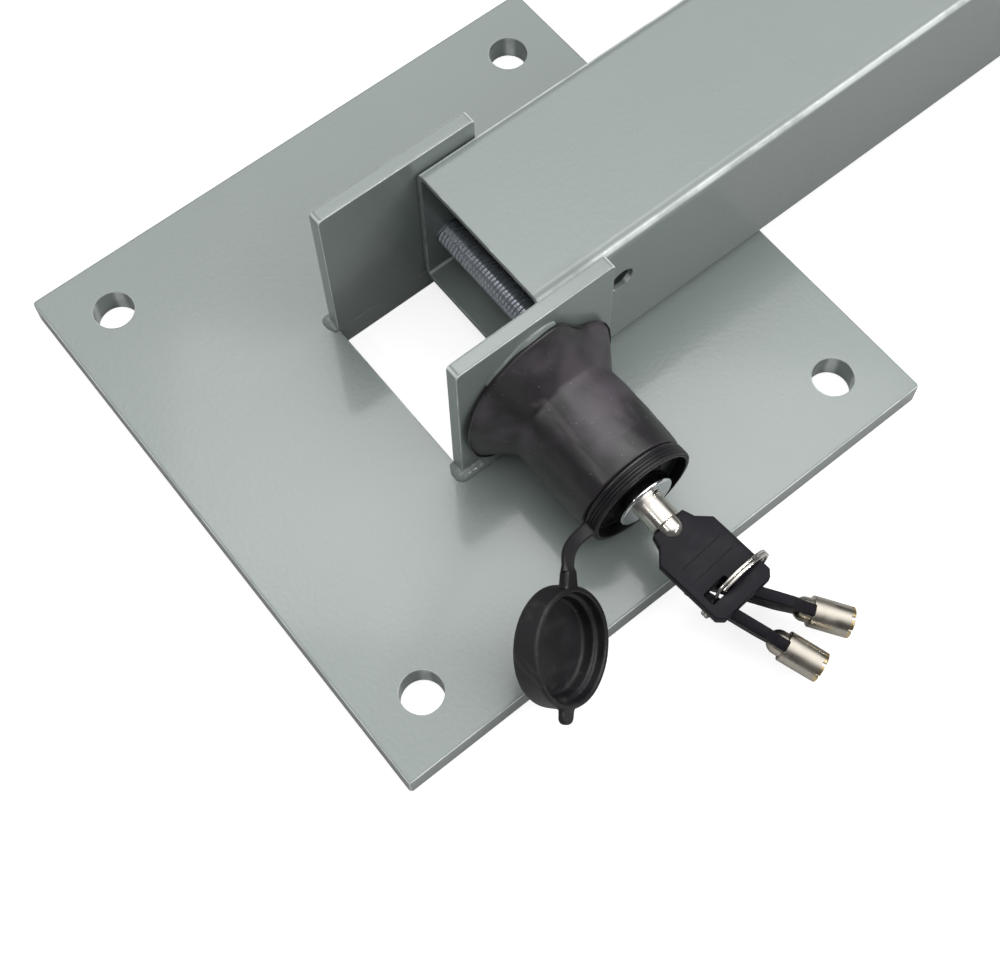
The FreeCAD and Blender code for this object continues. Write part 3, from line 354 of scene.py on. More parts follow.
def soften(node, width):
    """Real rounded edges on a CAD node, laid on as modifiers."""
    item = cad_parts[node]
    weld = item.modifiers.new("weld", "WELD")
    weld.merge_threshold = 2 * SAME_SPOT
    bevel = item.modifiers.new("soft_edges", "BEVEL")
    bevel.width = width
    bevel.segments = 2
    bevel.limit_method = "ANGLE"
    bevel.angle_limit = math.radians(35)
    bevel.use_clamp_overlap = True


soften("post_end_plug", 0.3 * MM)


# Mesh helpers

def finish_piece(name, bm, material, body, nodes=(), smooth_angle=40):
    """Turn a bmesh into a finished piece that rides on a body given by name; any other body leaves
    it fixed where it is.
    """
    bmesh.ops.remove_doubles(bm, verts=bm.verts, dist=SAME_SPOT)
    bmesh.ops.dissolve_degenerate(bm, edges=bm.edges, dist=SAME_SPOT / 2)
    bmesh.ops.recalc_face_normals(bm, faces=bm.faces)
    mesh = bpy.data.meshes.new(name)
    bm.to_mesh(mesh)
    bm.free()
    mesh.materials.append(material)
    for polygon in mesh.polygons:
        polygon.use_smooth = True
    mesh.set_sharp_from_angle(angle=math.radians(smooth_angle))
    item = bpy.data.objects.new(name, mesh)
    bpy.context.scene.collection.objects.link(item)
    if isinstance(body, str):
        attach(item, body)
    else:
        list(body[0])
        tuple(body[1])
        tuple(body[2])
        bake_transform(item)
    if nodes:
        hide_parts(*nodes)
    return item


def rounded(corners, closed=True, steps=5):
    """Outline through corners (x, y, radius), each corner eased by its radius."""
    total = len(corners)
    points = []
    for index, (x, y, radius) in enumerate(corners):
        here = Vector((x, y))
        at_end = not closed and index in (0, total - 1)
        if radius <= 0 or at_end:
            points.append(here)
            continue
        before = Vector(corners[index - 1][:2]) - here
        after = Vector(corners[(index + 1) % total][:2]) - here
        turn = before.angle(after)
        reach = min(radius / math.tan(turn / 2), before.length * 0.49, after.length * 0.49)
        start = here + before.normalized() * reach
        end = here + after.normalized() * reach
        for step in range(steps + 1):
            t = step / steps
            points.append(start * (1 - t) ** 2 + here * 2 * t * (1 - t) + end * t * t)
    return points


def skin(bm, rows, closed_rows=True, closed_columns=True):
    """Quads between rows of points that all have the same count."""
    grid = [[bm.verts.new(point) for point in row] for row in rows]
    count = len(grid[0])
    for index in range(len(grid) if closed_rows else len(grid) - 1):
        row, other = grid[index], grid[(index + 1) % len(grid)]
        for k in range(count if closed_columns else count - 1):
            after = (k + 1) % count
            bm.faces.new((row[k], row[after], other[after], other[k]))
    return grid


def skin_with_ends(bm, rows):
    """Skin between open rows, with a face on the first and on the last."""
    grid = skin(bm, rows, closed_rows=False)
    bm.faces.new(grid[0])
    bm.faces.new(grid[-1])


def superellipse(half_u, half_v, power, count):
    """Points (u, v) round a soft-cornered rectangle."""
    points = []
    for k in range(count):
        turn = 2 * math.pi * k / count
        c, s = math.cos(turn), math.sin(turn)
        points.append((math.copysign(abs(c) ** power, c) * half_u,
                       math.copysign(abs(s) ** power, s) * half_v))
    return points


def evaluated_mesh(item):
    """Bmesh of an object with its modifiers applied."""
    shape = item.evaluated_get(bpy.context.evaluated_depsgraph_get())
    bm = bmesh.new()
    bm.from_mesh(shape.to_mesh())
    shape.to_mesh_clear()
    return bm


def scratch_object(name, bm):
    """Object made of a bmesh, which is used up."""
    mesh = bpy.data.meshes.new(name)
    bm.to_mesh(mesh)
    bm.free()
    item = bpy.data.objects.new(name, mesh)
    bpy.context.scene.collection.objects.link(item)
    return item


def revolve(bm, outline, placed, steps, closed=True):
    """Turn an outline of (radius, station) round an axis; placed gives each point."""
    rows = []
    for step in range(steps):
        angle = 2 * math.pi * step / steps
        rows.append([placed(p.x * math.cos(angle), p.x * math.sin(angle), p.y) for p in outline])
    return skin(bm, rows, closed_columns=closed)


def wobble(point, scale, amount):
    """Seedless noise offset for a point."""
    return noise.noise(point * scale) * amount


# Lock boot

HOUSING_RADIUS = 17 * MM
BOOT_BORE = HOUSING_RADIUS + 0.05 * MM
BOOT_BODY = BOOT_BORE + 2.4 * MM
BOOT_NECK = BOOT_BORE + 0.9 * MM
# stations are measured outward from the near lug
FLARE_STATION = 12.5 * MM
FLARE_CREASE = 0.12              # softness of the crease, as a share of the flare's run
SHOULDER_STATION = 43.2 * MM
SHOULDER_EASE = 3 * MM
BOOT_LENGTH = 48.7 * MM
HOUSING_END = 44 * MM
MOUTH_RADIUS = 17.35 * MM
MOUTH_FLOOR = HOUSING_END + 0.7 * MM
CYLINDER_GAP = 10.6 * MM         # radius of the opening round the lock cylinder
COLLAR_THICK = 1.1 * MM
COLLAR_LOW, COLLAR_HIGH = 44.3 * MM, 48.5 * MM
FLANGE_GAP = 0.35 * MM
FLANGE_LIP = 3 * MM
FLANGE_CENTRE = Vector((-2 * MM, 6.3 * MM))
FLANGE_WIDE = 27.7 * MM
FLANGE_TALL = 30.3 * MM
# folds of the flange's rim: angle, half width in degrees, height
FLANGE_FOLDS = ((50, 19, -4.4 * MM), (80, 9, 0.9 * MM), (-38, 28, 3.2 * MM), (-138, 24, 2.2 * MM))


def rim_radius(angle):
    """Radius of the flange's rim about its own centre."""
    across = math.cos(angle) / FLANGE_WIDE
    up = math.sin(angle) / FLANGE_TALL
    radius = 1 / math.sqrt(across * across + up * up)
    for fold, width, rise in FLANGE_FOLDS:
        apart = (math.degrees(angle) - fold + 180) % 360 - 180
        radius += rise * math.exp(-(apart / width) ** 2)
    return radius


def make_boot():
    """Rubber boot: barrel, flared and slightly crumpled flange, lip, bore, and a mouth painted near
    black as shade.
    """
    run = FLARE_STATION - FLANGE_GAP - FLANGE_LIP * 0.5
    mean_rim = (FLANGE_WIDE + FLANGE_TALL) / 2
    rise = mean_rim - BOOT_BODY

    def flare(t):
        """Share of the flange's rise at t of its run: a soft crease, then almost a cone."""
        whole = math.sqrt(1 + FLARE_CREASE ** 2) - FLARE_CREASE
        return (math.sqrt(t * t + FLARE_CREASE ** 2) - FLARE_CREASE) / whole

    neck = rounded([
        (BOOT_BORE, HOUSING_END, 0),
        (CYLINDER_GAP, HOUSING_END, 0.2 * MM),
        (CYLINDER_GAP, MOUTH_FLOOR, 0.2 * MM),
        (MOUTH_RADIUS, MOUTH_FLOOR, 0.5 * MM),
        (MOUTH_RADIUS, BOOT_LENGTH, 0.5 * MM),
        (BOOT_NECK, BOOT_LENGTH, 0.5 * MM),
        (BOOT_NECK, SHOULDER_STATION + 0.2 * MM, 0.4 * MM),
        (BOOT_BODY - 0.25 * MM, SHOULDER_STATION, 1.1 * MM),
        (BOOT_BODY, SHOULDER_STATION - SHOULDER_EASE, 0),
    ], closed=False)
    # radius, station, and share of the flange's rise
    profile = [(p.x, p.y, 0.0) for p in neck]
    body_rows = 12
    body_start = SHOULDER_STATION - SHOULDER_EASE
    body_swell = 0.25 * MM
    for row in range(1, body_rows):
        t = row / body_rows
        profile.append((BOOT_BODY + body_swell * math.sin(math.pi * t),
                        body_start + (FLARE_STATION - body_start) * t, 0.0))
    flare_rows = 18
    for row in range(flare_rows + 1):
        t = row / flare_rows
        profile.append((BOOT_BODY + rise * flare(t), FLARE_STATION - run * t, flare(t)))
    lip = FLANGE_LIP / 2
    lip_rows = 7
    for row in range(1, lip_rows):
        turn = math.pi * row / lip_rows
        profile.append((mean_rim + lip * 0.5 * math.sin(turn) - lip * (1 - math.cos(turn)) * 0.35,
                        FLANGE_GAP + lip * 0.5 * (2 + math.cos(turn) - row / lip_rows), 1.0))
    inner_rows = 8
    inner_rise = rise * 0.93
    for row in range(inner_rows + 1):
        t = 1 - row / inner_rows
        profile.append((BOOT_BORE + inner_rise * flare(t),
                        FLARE_STATION - (run + FLANGE_GAP) * t, flare(t)))
    steps = 220
    low_limit = plate_top + 0.35 * MM
    foot = 5.2 * MM              # the boot lies over the lug's foot weld this far out
    outside = BOOT_BORE + 1.5 * MM
    rows = []
    for step in range(steps):
        angle = 2 * math.pi * step / steps
        extra = rim_radius(angle) - mean_rim
        column = []
        for radius, station, share in profile:
            reach = radius + extra * share * share
            point = lock_point(FLANGE_CENTRE.x * share + math.cos(angle) * reach,
                               FLANGE_CENTRE.y * share + math.sin(angle) * reach, station)
            if radius > outside:
                push = wobble(point, 90, 0.35 * MM) + wobble(point, 230, 0.16 * MM)
                push += share * wobble(point, 60, 0.6 * MM)
                point += Vector((math.cos(angle), 0, math.sin(angle))) * push
                if share > 0.5:
                    point.y -= max(0.0, wobble(point, 60, 1.6 * MM)) * (share - 0.5)
            depth = lug_face - point.y
            point.z = max(point.z, low_limit + max(0.0, foot - depth))
            column.append(point)
        rows.append(column)
    bm = bmesh.new()
    skin(bm, rows)
    boot = finish_piece("boot", bm, rubber, "base", ("rubber_boot",), 60)
    boot.data.materials.append(mouth_painted_shade)
    # faces inside the mouth take the near-black painted shade
    for polygon in boot.data.polygons:
        centre = polygon.center
        reach = math.hypot(centre.x - lock_x, centre.z - lock_z)
        in_mouth = lug_face - centre.y > HOUSING_END - 0.1 * MM
        if reach < MOUTH_RADIUS + 0.3 * MM and in_mouth:
            polygon.material_index = 1
    return boot


def make_collar():
    """Grooved collar of the dust cap, stretched over the boot's neck."""
    inner = BOOT_NECK + 0.05 * MM
    outer = inner + COLLAR_THICK
    corners = [(inner, COLLAR_LOW, 0.2 * MM), (outer - 0.2 * MM, COLLAR_LOW, 0.7 * MM)]
    grooves, groove_half, groove_depth = 3, 0.33 * MM, 0.4 * MM
    pitch = (COLLAR_HIGH - COLLAR_LOW) / (grooves + 1)
    for index in range(1, grooves + 1):
        station = COLLAR_LOW + pitch * index
        corners += [(outer, station - groove_half, 0.18 * MM),
                    (outer - groove_depth, station, 0.1 * MM),
                    (outer, station + groove_half, 0.18 * MM)]
    corners += [(outer - 0.15 * MM, COLLAR_HIGH, 0.7 * MM), (inner, COLLAR_HIGH, 0.2 * MM)]
    outline = rounded(corners, steps=4)

    def placed(x, y, station):
        """Point of the collar, very slightly uneven."""
        point = lock_point(x, y, station)
        return point + Vector((x, 0, y)).normalized() * wobble(point, 120, 0.12 * MM)

    bm = bmesh.new()
    revolve(bm, outline, placed, 180)
    return finish_piece("collar", bm, cap_rubber, "base", ("dust_cap_collar",), 50)


# Dust cap

CAP_RADIUS = 18.1 * MM
CAP_DEPTH = 9.6 * MM
CAP_WALL = 2 * MM
CAP_CENTRE = Vector((-45, -107.6, 29.3)) * MM
CAP_FACING = direction(32, -34)
cap_up = (WORLD_UP - CAP_FACING * CAP_FACING.z).normalized()
CAP_ROLL = math.radians(57)
CAP_ALONG = cap_up * math.cos(CAP_ROLL) - CAP_FACING.cross(cap_up) * math.sin(CAP_ROLL)
CAP_ACROSS = CAP_FACING.cross(CAP_ALONG)
CAP_NECK = 5 * MM
CAP_TAB_TURN = math.radians(-7.5)


def cap_point(x, y, z):
    """Point in the cap's own frame: x towards the neck, z out of its mouth."""
    return CAP_CENTRE + CAP_ALONG * x + CAP_ACROSS * y + CAP_FACING * z


def rounded_slab(bm, outline, low, high, edge, placed):
    """Flat lug with a rounded edge: an outline about its own middle, from low to high in z."""
    middle = sum(outline, Vector((0, 0))) / len(outline)
    steps = 4
    eases = []
    for step in range(steps + 1):
        turn = math.pi / 2 * step / steps
        eases.append((edge * (1 - math.sin(turn)), edge * (1 - math.cos(turn))))
    levels = [(low + drop, inset) for drop, inset in reversed(eases)]
    levels += [(high - drop, inset) for drop, inset in eases]
    rows = []
    for level, inset in levels:
        row = []
        for point in outline:
            away = point - middle
            pulled = middle + away * max(0.0, 1 - inset / away.length)
            row.append(placed(pulled.x, pulled.y, level))
        rows.append(row)
    skin_with_ends(bm, rows)


def make_cap():
    """Dust cap with its inner ledge, neck block and pull tab, melted into one moulding."""
    wall = CAP_RADIUS - CAP_WALL
    ledge, ledge_level = wall - 1.4 * MM, -3.4 * MM
    cap_floor = -CAP_DEPTH + 2 * MM
    outline = rounded([
        (0, -CAP_DEPTH + 0.25 * MM, 0),
        (CAP_RADIUS * 0.7, -CAP_DEPTH, 4 * MM),
        (CAP_RADIUS, -CAP_DEPTH, 3 * MM),
        (CAP_RADIUS, 0, 0.75 * MM),
        (wall + 0.15 * MM, 0, 0.6 * MM),
        (wall, ledge_level, 0.5 * MM),
        (ledge, ledge_level, 0.6 * MM),
        (ledge, cap_floor, 1.2 * MM),
        (0, cap_floor, 0),
    ], closed=False, steps=6)
    bm = bmesh.new()
    revolve(bm, outline, cap_point, 160, closed=False)
    root = CAP_RADIUS - 1.2 * MM
    slab_top = -0.1 * MM
    neck_half, neck_end = 3 * MM, CAP_RADIUS + CAP_NECK
    neck_end_half = neck_half * 0.82
    neck = rounded([(root, -neck_half, 0), (neck_end, -neck_end_half, 1.2 * MM),
                    (neck_end, neck_end_half, 1.2 * MM), (root, neck_half, 0)], steps=5)
    rounded_slab(bm, neck, -3.5 * MM, slab_top, 0.9 * MM, cap_point)
    tab_half, tab_end, tab_corner = 2.9 * MM, CAP_RADIUS + 4.3 * MM, 2.6 * MM
    tab = rounded([(root, -tab_half, 0), (tab_end, -tab_half, tab_corner),
                   (tab_end, tab_half, tab_corner), (root, tab_half, 0)], steps=7)

    def tab_point(x, y, z):
        """Point of the pull tab, on the cap's far side."""
        turn = CAP_TAB_TURN + math.pi
        return cap_point(x * math.cos(turn) - y * math.sin(turn),
                         x * math.sin(turn) + y * math.cos(turn), z)

    rounded_slab(bm, tab, -2.4 * MM, slab_top, 0.7 * MM, tab_point)
    bmesh.ops.remove_doubles(bm, verts=bm.verts, dist=SAME_SPOT)
    bmesh.ops.recalc_face_normals(bm, faces=bm.faces)
    scratch = scratch_object("cap_scratch", bm)
    remesh = scratch.modifiers.new("melt", "REMESH")
    remesh.mode = "VOXEL"
    remesh.voxel_size = 0.36 * MM
    smooth = scratch.modifiers.new("ease", "SMOOTH")
    smooth.factor = 0.5
    smooth.iterations = 5
    melted = evaluated_mesh(scratch)
    bpy.data.objects.remove(scratch)
    for vertex in melted.verts:
        vertex.co += CAP_FACING * wobble(vertex.co, 80, 0.18 * MM)
    return finish_piece("dust_cap_moulding", melted, cap_rubber, "cap",
                        ("dust_cap",), 75)


def bezier(poles, t):
    """Point on a cubic curve."""
    s = 1 - t
    weights = (s ** 3, 3 * s * s * t, 3 * s * t * t, t ** 3)
    return sum((pole * weight for pole, weight in zip(poles, weights)), Vector((0, 0, 0)))


def make_strap():
    """Strap from the collar to the cap's neck, curved and twisted to meet the cap."""
    collar_outer = BOOT_NECK + COLLAR_THICK
    start = lock_point(-collar_outer + 0.5 * MM, 0, 46.2 * MM)
    end = cap_point(CAP_RADIUS + CAP_NECK - 0.4 * MM, 0, -1.8 * MM)
    bow = 10 * MM
    poles = [start, start + Vector((-bow, 0, 0)), end + CAP_ALONG * bow * 0.45, end]
    steps = 48
    line = [bezier(poles, step / steps) for step in range(steps + 1)]
    section = superellipse(2.2 * MM, 1.1 * MM, 0.7, 24)
    rows = []
    for index, point in enumerate(line):
        t = index / steps
        tangent = (line[min(index + 1, steps)] - line[max(index - 1, 0)]).normalized()
        side = (-WORLD_OUT).lerp(CAP_ACROSS, t)
        side = (side - tangent * side.dot(tangent)).normalized()
        up = tangent.cross(side)
        ends = 1 + 0.22 * max(0.0, 1 - t / 0.1) + 0.3 * max(0.0, 1 - (1 - t) / 0.12)
        rows.append([point + side * u * ends + up * v * ends for u, v in section])
    bm = bmesh.new()
    skin_with_ends(bm, rows)
    blended = (("base", "cap"), tuple(start), tuple(end))
    return finish_piece("cap_strap", bm, cap_rubber, blended,
                        ("dust_cap_strap",), 60)


# Pivot bolt

THREAD_PITCH = 1.5 * MM
THREAD_MAJOR, THREAD_MINOR = 4.98 * MM, 4.5 * MM
THREAD_CREST, THREAD_ROOT = 0.16, 0.22      # shares of the pitch
HEAD_FLAT = 8 * MM                          # from the axis to a flat
HEAD_HEIGHT = 6.4 * MM


def pivot_point(turn, reach, y):
    """Point at a turn and a reach round the pivot's axis."""
    return Vector((pivot_x + math.cos(turn) * reach, y, pivot_z + math.sin(turn) * reach))


def thread_level(phase):
    """Height of the thread at a share of its pitch, 0 at the root and 1 on the crest."""
    flank = (1 - THREAD_CREST - THREAD_ROOT) / 2
    if phase < THREAD_CREST:
        return 1.0
    if phase < THREAD_CREST + flank:
        return 1 - (phase - THREAD_CREST) / flank
    if phase < THREAD_CREST + flank + THREAD_ROOT:
        return 0.0
    return (phase - THREAD_CREST - flank - THREAD_ROOT) / flank


def make_bolt():
    """M10 pivot bolt: a true thread, chamfered tip and chamfered hexagon head."""
    core = THREAD_MINOR * 0.9
    head_face = washer_high.y
    tip_y = lug_face + 0.2 * MM
    length = head_face - tip_y
    around, per_turn = 48, 12
    total = int(length / THREAD_PITCH * per_turn) + per_turn
    rows = []
    for i in range(total + 1):
        radius = THREAD_MINOR + (THREAD_MAJOR - THREAD_MINOR) * thread_level((i / per_turn) % 1.0)
        row = []
        for j in range(around):
            along = (i / per_turn - 1 + j / around) * THREAD_PITCH
            from_end = max(0.0, min(along, length - along))
            along = min(max(along, 0.0), length)
            row.append(pivot_point(2 * math.pi * j / around, min(radius, core + from_end),
                                   tip_y + along))
        rows.append(row)
    bm = bmesh.new()
    skin_with_ends(bm, rows)
    finish_piece("pivot_thread", bm, thread_zinc, "base", ("pivot_bolt",), 25)

    flat_circle = HEAD_FLAT * 0.95
    chamfer = math.tan(math.radians(30))
    segments = 96
    rows = [[], [], [], [], []]
    for j in range(segments):
        turn = 2 * math.pi * j / segments
        apart = (turn + math.pi / 6) % (math.pi / 3) - math.pi / 6
        corner = HEAD_FLAT / math.cos(math.pi / 6 - abs(apart))
        top = HEAD_HEIGHT - max(0.0, corner - flat_circle) * chamfer
        outline = ((THREAD_MINOR, 0), (corner, 0), (corner, top), (flat_circle, HEAD_HEIGHT),
                   (flat_circle * 0.5, HEAD_HEIGHT))
        for row, (radius, rise) in zip(rows, outline):
            row.append(pivot_point(turn, radius, head_face + rise))
    bm = bmesh.new()
    skin_with_ends(bm, rows)
    finish_piece("pivot_head", bm, zinc, "base", (), 25)


# Welds

RIPPLE_PITCH = 2.3 * MM


def make_bead(name, path, leg, nodes, closed=False, rise=0.8, rough=0.1):
    """Painted weld bead: path of (root point, outward, up) with ripples and a hollow face."""
    hollow, sunk = 1.45, 0.3 * MM
    rows = []
    travelled = 0.0
    last = path[0][0] + path[0][1] * leg
    total = len(path)
    for index, (root, out, up) in enumerate(path):
        toe = root + out * leg
        travelled += (toe - last).length
        last = toe
        wave = 2 * math.pi * travelled / RIPPLE_PITCH + wobble(root, 150, 2.0)
        ripple = 0.5 + 0.5 * math.sin(wave)
        size = leg * (0.95 + 0.025 * ripple + wobble(root, 90, rough))
        if not closed:
            near = min(index, total - 1 - index) / (total * 0.05)
            size *= math.sqrt(min(1.0, 0.15 + near))
        row = [root - out * sunk - up * sunk]
        for k in range(9):
            turn = math.pi / 2 * k / 8
            across, above = math.cos(turn) ** hollow, math.sin(turn) ** hollow
            row.append(root + out * size * across + up * size * rise * above)
        rows.append(row)
    bm = bmesh.new()
    if closed:
        skin(bm, rows)
    else:
        skin_with_ends(bm, rows)
    return finish_piece(name, bm, weld_paint, "base", nodes, 55)


def lug_path(low, high, face, side):
    """Root line of a lug's foot weld: along its outer face and round both ends."""
    thick = high.y - low.y
    runs, turns, along = 14, 14, 150

    def stop(x, y, out_x, out_y):
        """Point of the path on the plate, with the bead's way outward and up."""
        return Vector((x, y, plate_top)), Vector((out_x, out_y, 0)), WORLD_UP

    shares = [index / (runs - 1) for index in range(runs)]
    bends = [math.pi / 2 * index / turns for index in range(1, turns)]
    path = [stop(low.x, face - side * thick * (1 - t), -1, 0) for t in shares]
    path += [stop(low.x, face, -math.cos(bend), side * math.sin(bend)) for bend in bends]
    for index in range(along + 1):
        path.append(stop(low.x + (high.x - low.x) * index / along, face, 0, side))
    path += [stop(high.x, face, math.sin(bend), side * math.cos(bend)) for bend in bends]
    path += [stop(high.x, face - side * thick * t, 1, 0) for t in shares]
    return path


def round_path(centre, turns, reach):
    """Root line round an axis along the lock; reach gives the radius at a turn."""
    path = []
    for turn in turns:
        out = Vector((math.cos(turn), 0, math.sin(turn)))
        path.append((centre + out * reach(turn), out, WORLD_OUT))
    return path


def make_welds():
    """Foot beads of both lugs, the housing's bead, and a short one behind the boot's rim."""
    path = lug_path(near_low, near_high, near_low.y, -1)
    make_bead("near_foot_bead", path, 3.1 * MM, ("near_lug_weld",))
    path = lug_path(far_low, far_high, far_high.y, 1)
    make_bead("far_foot_bead", path, 2.6 * MM, ("far_lug_weld",))
    points = 160
    turns = [2 * math.pi * index / points for index in range(points)]
    path = round_path(lock_point(0, 0, 0), turns, lambda turn: HOUSING_RADIUS)
    make_bead("housing_bead", path, 2.9 * MM, ("housing_weld",), closed=True, rise=1.0)
    first, spread, points = 76, 58, 60      # from and over, in degrees
    turns = [math.radians(first + spread * index / (points - 1)) for index in range(points)]
    path = round_path(lock_point(FLANGE_CENTRE.x, FLANGE_CENTRE.y, 0), turns,
                      lambda turn: rim_radius(turn) - 1.6 * MM)
    make_bead("flange_bead", path, 2.4 * MM, (), rise=0.7, rough=1.1)


# Split ring and keys

RING_RADIUS = 13 * MM
RING_CROSSING = math.radians(138)
BOW_SKEW = math.radians(4.5)
RING_TILT = math.radians(3)
bow_across = Vector((math.cos(BOW_SKEW), math.sin(BOW_SKEW), 0))
bow_outward = Vector((math.sin(BOW_SKEW), -math.cos(BOW_SKEW), 0))
ring_axis = bow_outward * math.cos(RING_TILT) - WORLD_UP * math.sin(RING_TILT)
ring_up = WORLD_UP * math.cos(RING_TILT) + bow_outward * math.sin(RING_TILT)
ring_low, ring_high = node_box("key_ring")
ring_centre = (ring_low + ring_high) / 2

BOW_FRONT_STATION = 59.5 * MM    # of the bow in the lock, outward from the near lug
BOW_GAP = 0.45 * MM
BOW_THICKNESS = 3.6 * MM
BOW_HALF = 11.5 * MM
BOW_LENGTH = 33 * MM
# measured along a bow from its root, or across it from its middle
BAND_START, BAND_WIDTH, BAND_HALF = 13.6 * MM, 5.2 * MM, 8.25 * MM
SLOT_LEFT, SLOT_LENGTH = -8.9 * MM, 9 * MM
SLOT_END = 27.4 * MM
BARREL_LENGTH = 12.6 * MM


def make_ring():
    """Split ring: one flat wire wound twice, stepping from turn to turn between its two ends."""
    section = superellipse(0.6 * MM, 0.5 * MM, 0.6, 16)
    shift = 0.56 * MM
    gap = math.radians(13)
    steps = 400
    rows = []
    for step in range(steps + 1):
        turn = gap + (4 * math.pi - 2 * gap) * step / steps
        t = min(1.0, max(0.0, (turn - 2 * math.pi + gap) / (2 * gap)))
        side = -shift + 2 * shift * (t * t * (3 - 2 * t))
        angle = RING_CROSSING + turn
        out = bow_across * math.cos(angle) + ring_up * math.sin(angle)
        rows.append([ring_centre + out * (RING_RADIUS + u) + ring_axis * (side + v)
                     for u, v in section])
    bm = bmesh.new()
    skin_with_ends(bm, rows)
    return finish_piece("split_ring", bm, ring_steel, "ring", ("key_ring",), 50)


def plate_with_hole(outline, hole, thickness, edge):
    """Flat plate with rounded edges round its outline and its hole, as a bmesh about z = 0."""
    curve = bpy.data.curves.new("bow_outline", "CURVE")
    curve.dimensions = "2D"
    curve.fill_mode = "BOTH"
    curve.extrude = thickness / 2 - edge
    curve.bevel_depth = edge
    curve.bevel_resolution = 2
    curve.offset = -edge
    for loop in (outline, hole):
        spline = curve.splines.new("POLY")
        spline.points.add(len(loop) - 1)
        for point, spot in zip(spline.points, loop):
            point.co = (spot.x, spot.y, 0, 1)
        spline.use_cyclic_u = True
    item = bpy.data.objects.new("bow_scratch", curve)
    bpy.context.scene.collection.objects.link(item)
    shape = item.evaluated_get(bpy.context.evaluated_depsgraph_get())
    solid = bpy.data.meshes.new_from_object(shape)
    bpy.data.objects.remove(item)
    bm = bmesh.new()
    bm.from_mesh(solid)
    bmesh.ops.remove_doubles(bm, verts=bm.verts, dist=SAME_SPOT)
    return bm


def add_box(bm, low, high):
    """Closed box between two corners."""
    corners = [bm.verts.new((x, y, z)) for x in (low[0], high[0]) for y in (low[1], high[1])
               for z in (low[2], high[2])]
    for face in ((0, 1, 3, 2), (4, 6, 7, 5), (0, 4, 5, 1),
                 (2, 3, 7, 6), (0, 2, 6, 4), (1, 5, 7, 3)):
        bm.faces.new([corners[k] for k in face])


def cut_away(solid, cutters):
    """Solid less the cutters, both given as bmeshes, which are used up."""
    for bm in (solid, cutters):
        bmesh.ops.recalc_face_normals(bm, faces=bm.faces)
    whole, tools = scratch_object("solid", solid), scratch_object("cutters", cutters)
    cut = whole.modifiers.new("cut", "BOOLEAN")
    cut.operation = "DIFFERENCE"
    cut.solver = "EXACT"
    cut.object = tools
    bm = evaluated_mesh(whole)
    bpy.data.objects.remove(whole)
    bpy.data.objects.remove(tools)
    return bm


def make_barrel(name, origin, across, outward, body, node, material):
    """Tubular key barrel: notched tip, stepped rear end and a domed fork over the bow."""
    radius, bore, tongue = 5 * MM, 3.5 * MM, 3.95 * MM
    bore_floor, rear_step = -3 * MM, 0.6 * MM
    dome_start, dome_rise = 2.4 * MM, 3.8 * MM
    dome = [(tongue * math.cos(math.pi * step / 20),
             dome_start + dome_rise * math.sin(math.pi * step / 20), 0) for step in range(10)]
    outline = rounded([
        (0, bore_floor, 0),
        (bore, bore_floor, 0.2 * MM),
        (bore, -BARREL_LENGTH, 0.15 * MM),
        (radius, -BARREL_LENGTH, 0.3 * MM),
        (radius, rear_step, 0.4 * MM),
        (tongue, rear_step, 0.15 * MM),
        *dome,
        (0, dome_start + dome_rise, 0),
    ], closed=False)
    solid = bmesh.new()
    revolve(solid, outline, lambda x, y, z: Vector((x, y, z)), 96, closed=False)
    bmesh.ops.remove_doubles(solid, verts=solid.verts, dist=SAME_SPOT)
    cutters = bmesh.new()
    half_gap = BOW_THICKNESS / 2 + 0.03 * MM
    add_box(cutters, (-2 * radius, -half_gap, 0), (2 * radius, half_gap, 3 * radius))
    notches, half_notch, notch_depth = 7, 0.6 * MM, 1.3 * MM
    for index in range(notches):
        before = len(cutters.verts)
        add_box(cutters, (bore - 0.6 * MM, -half_notch, -BARREL_LENGTH - 1 * MM),
                (radius + 1 * MM, half_notch, notch_depth - BARREL_LENGTH))
        cutters.verts.ensure_lookup_table()
        turn = Matrix.Rotation(2 * math.pi * (index + 0.25) / notches, 4, "Z")
        bmesh.ops.transform(cutters, matrix=turn, verts=cutters.verts[before:])
    bm = cut_away(solid, cutters)
    thick = outward.cross(across)
    for vertex in bm.verts:
        x, y, z = vertex.co
        vertex.co = origin + across * x + thick * y + outward * z
    return finish_piece(name, bm, material, body, (node,), 30)


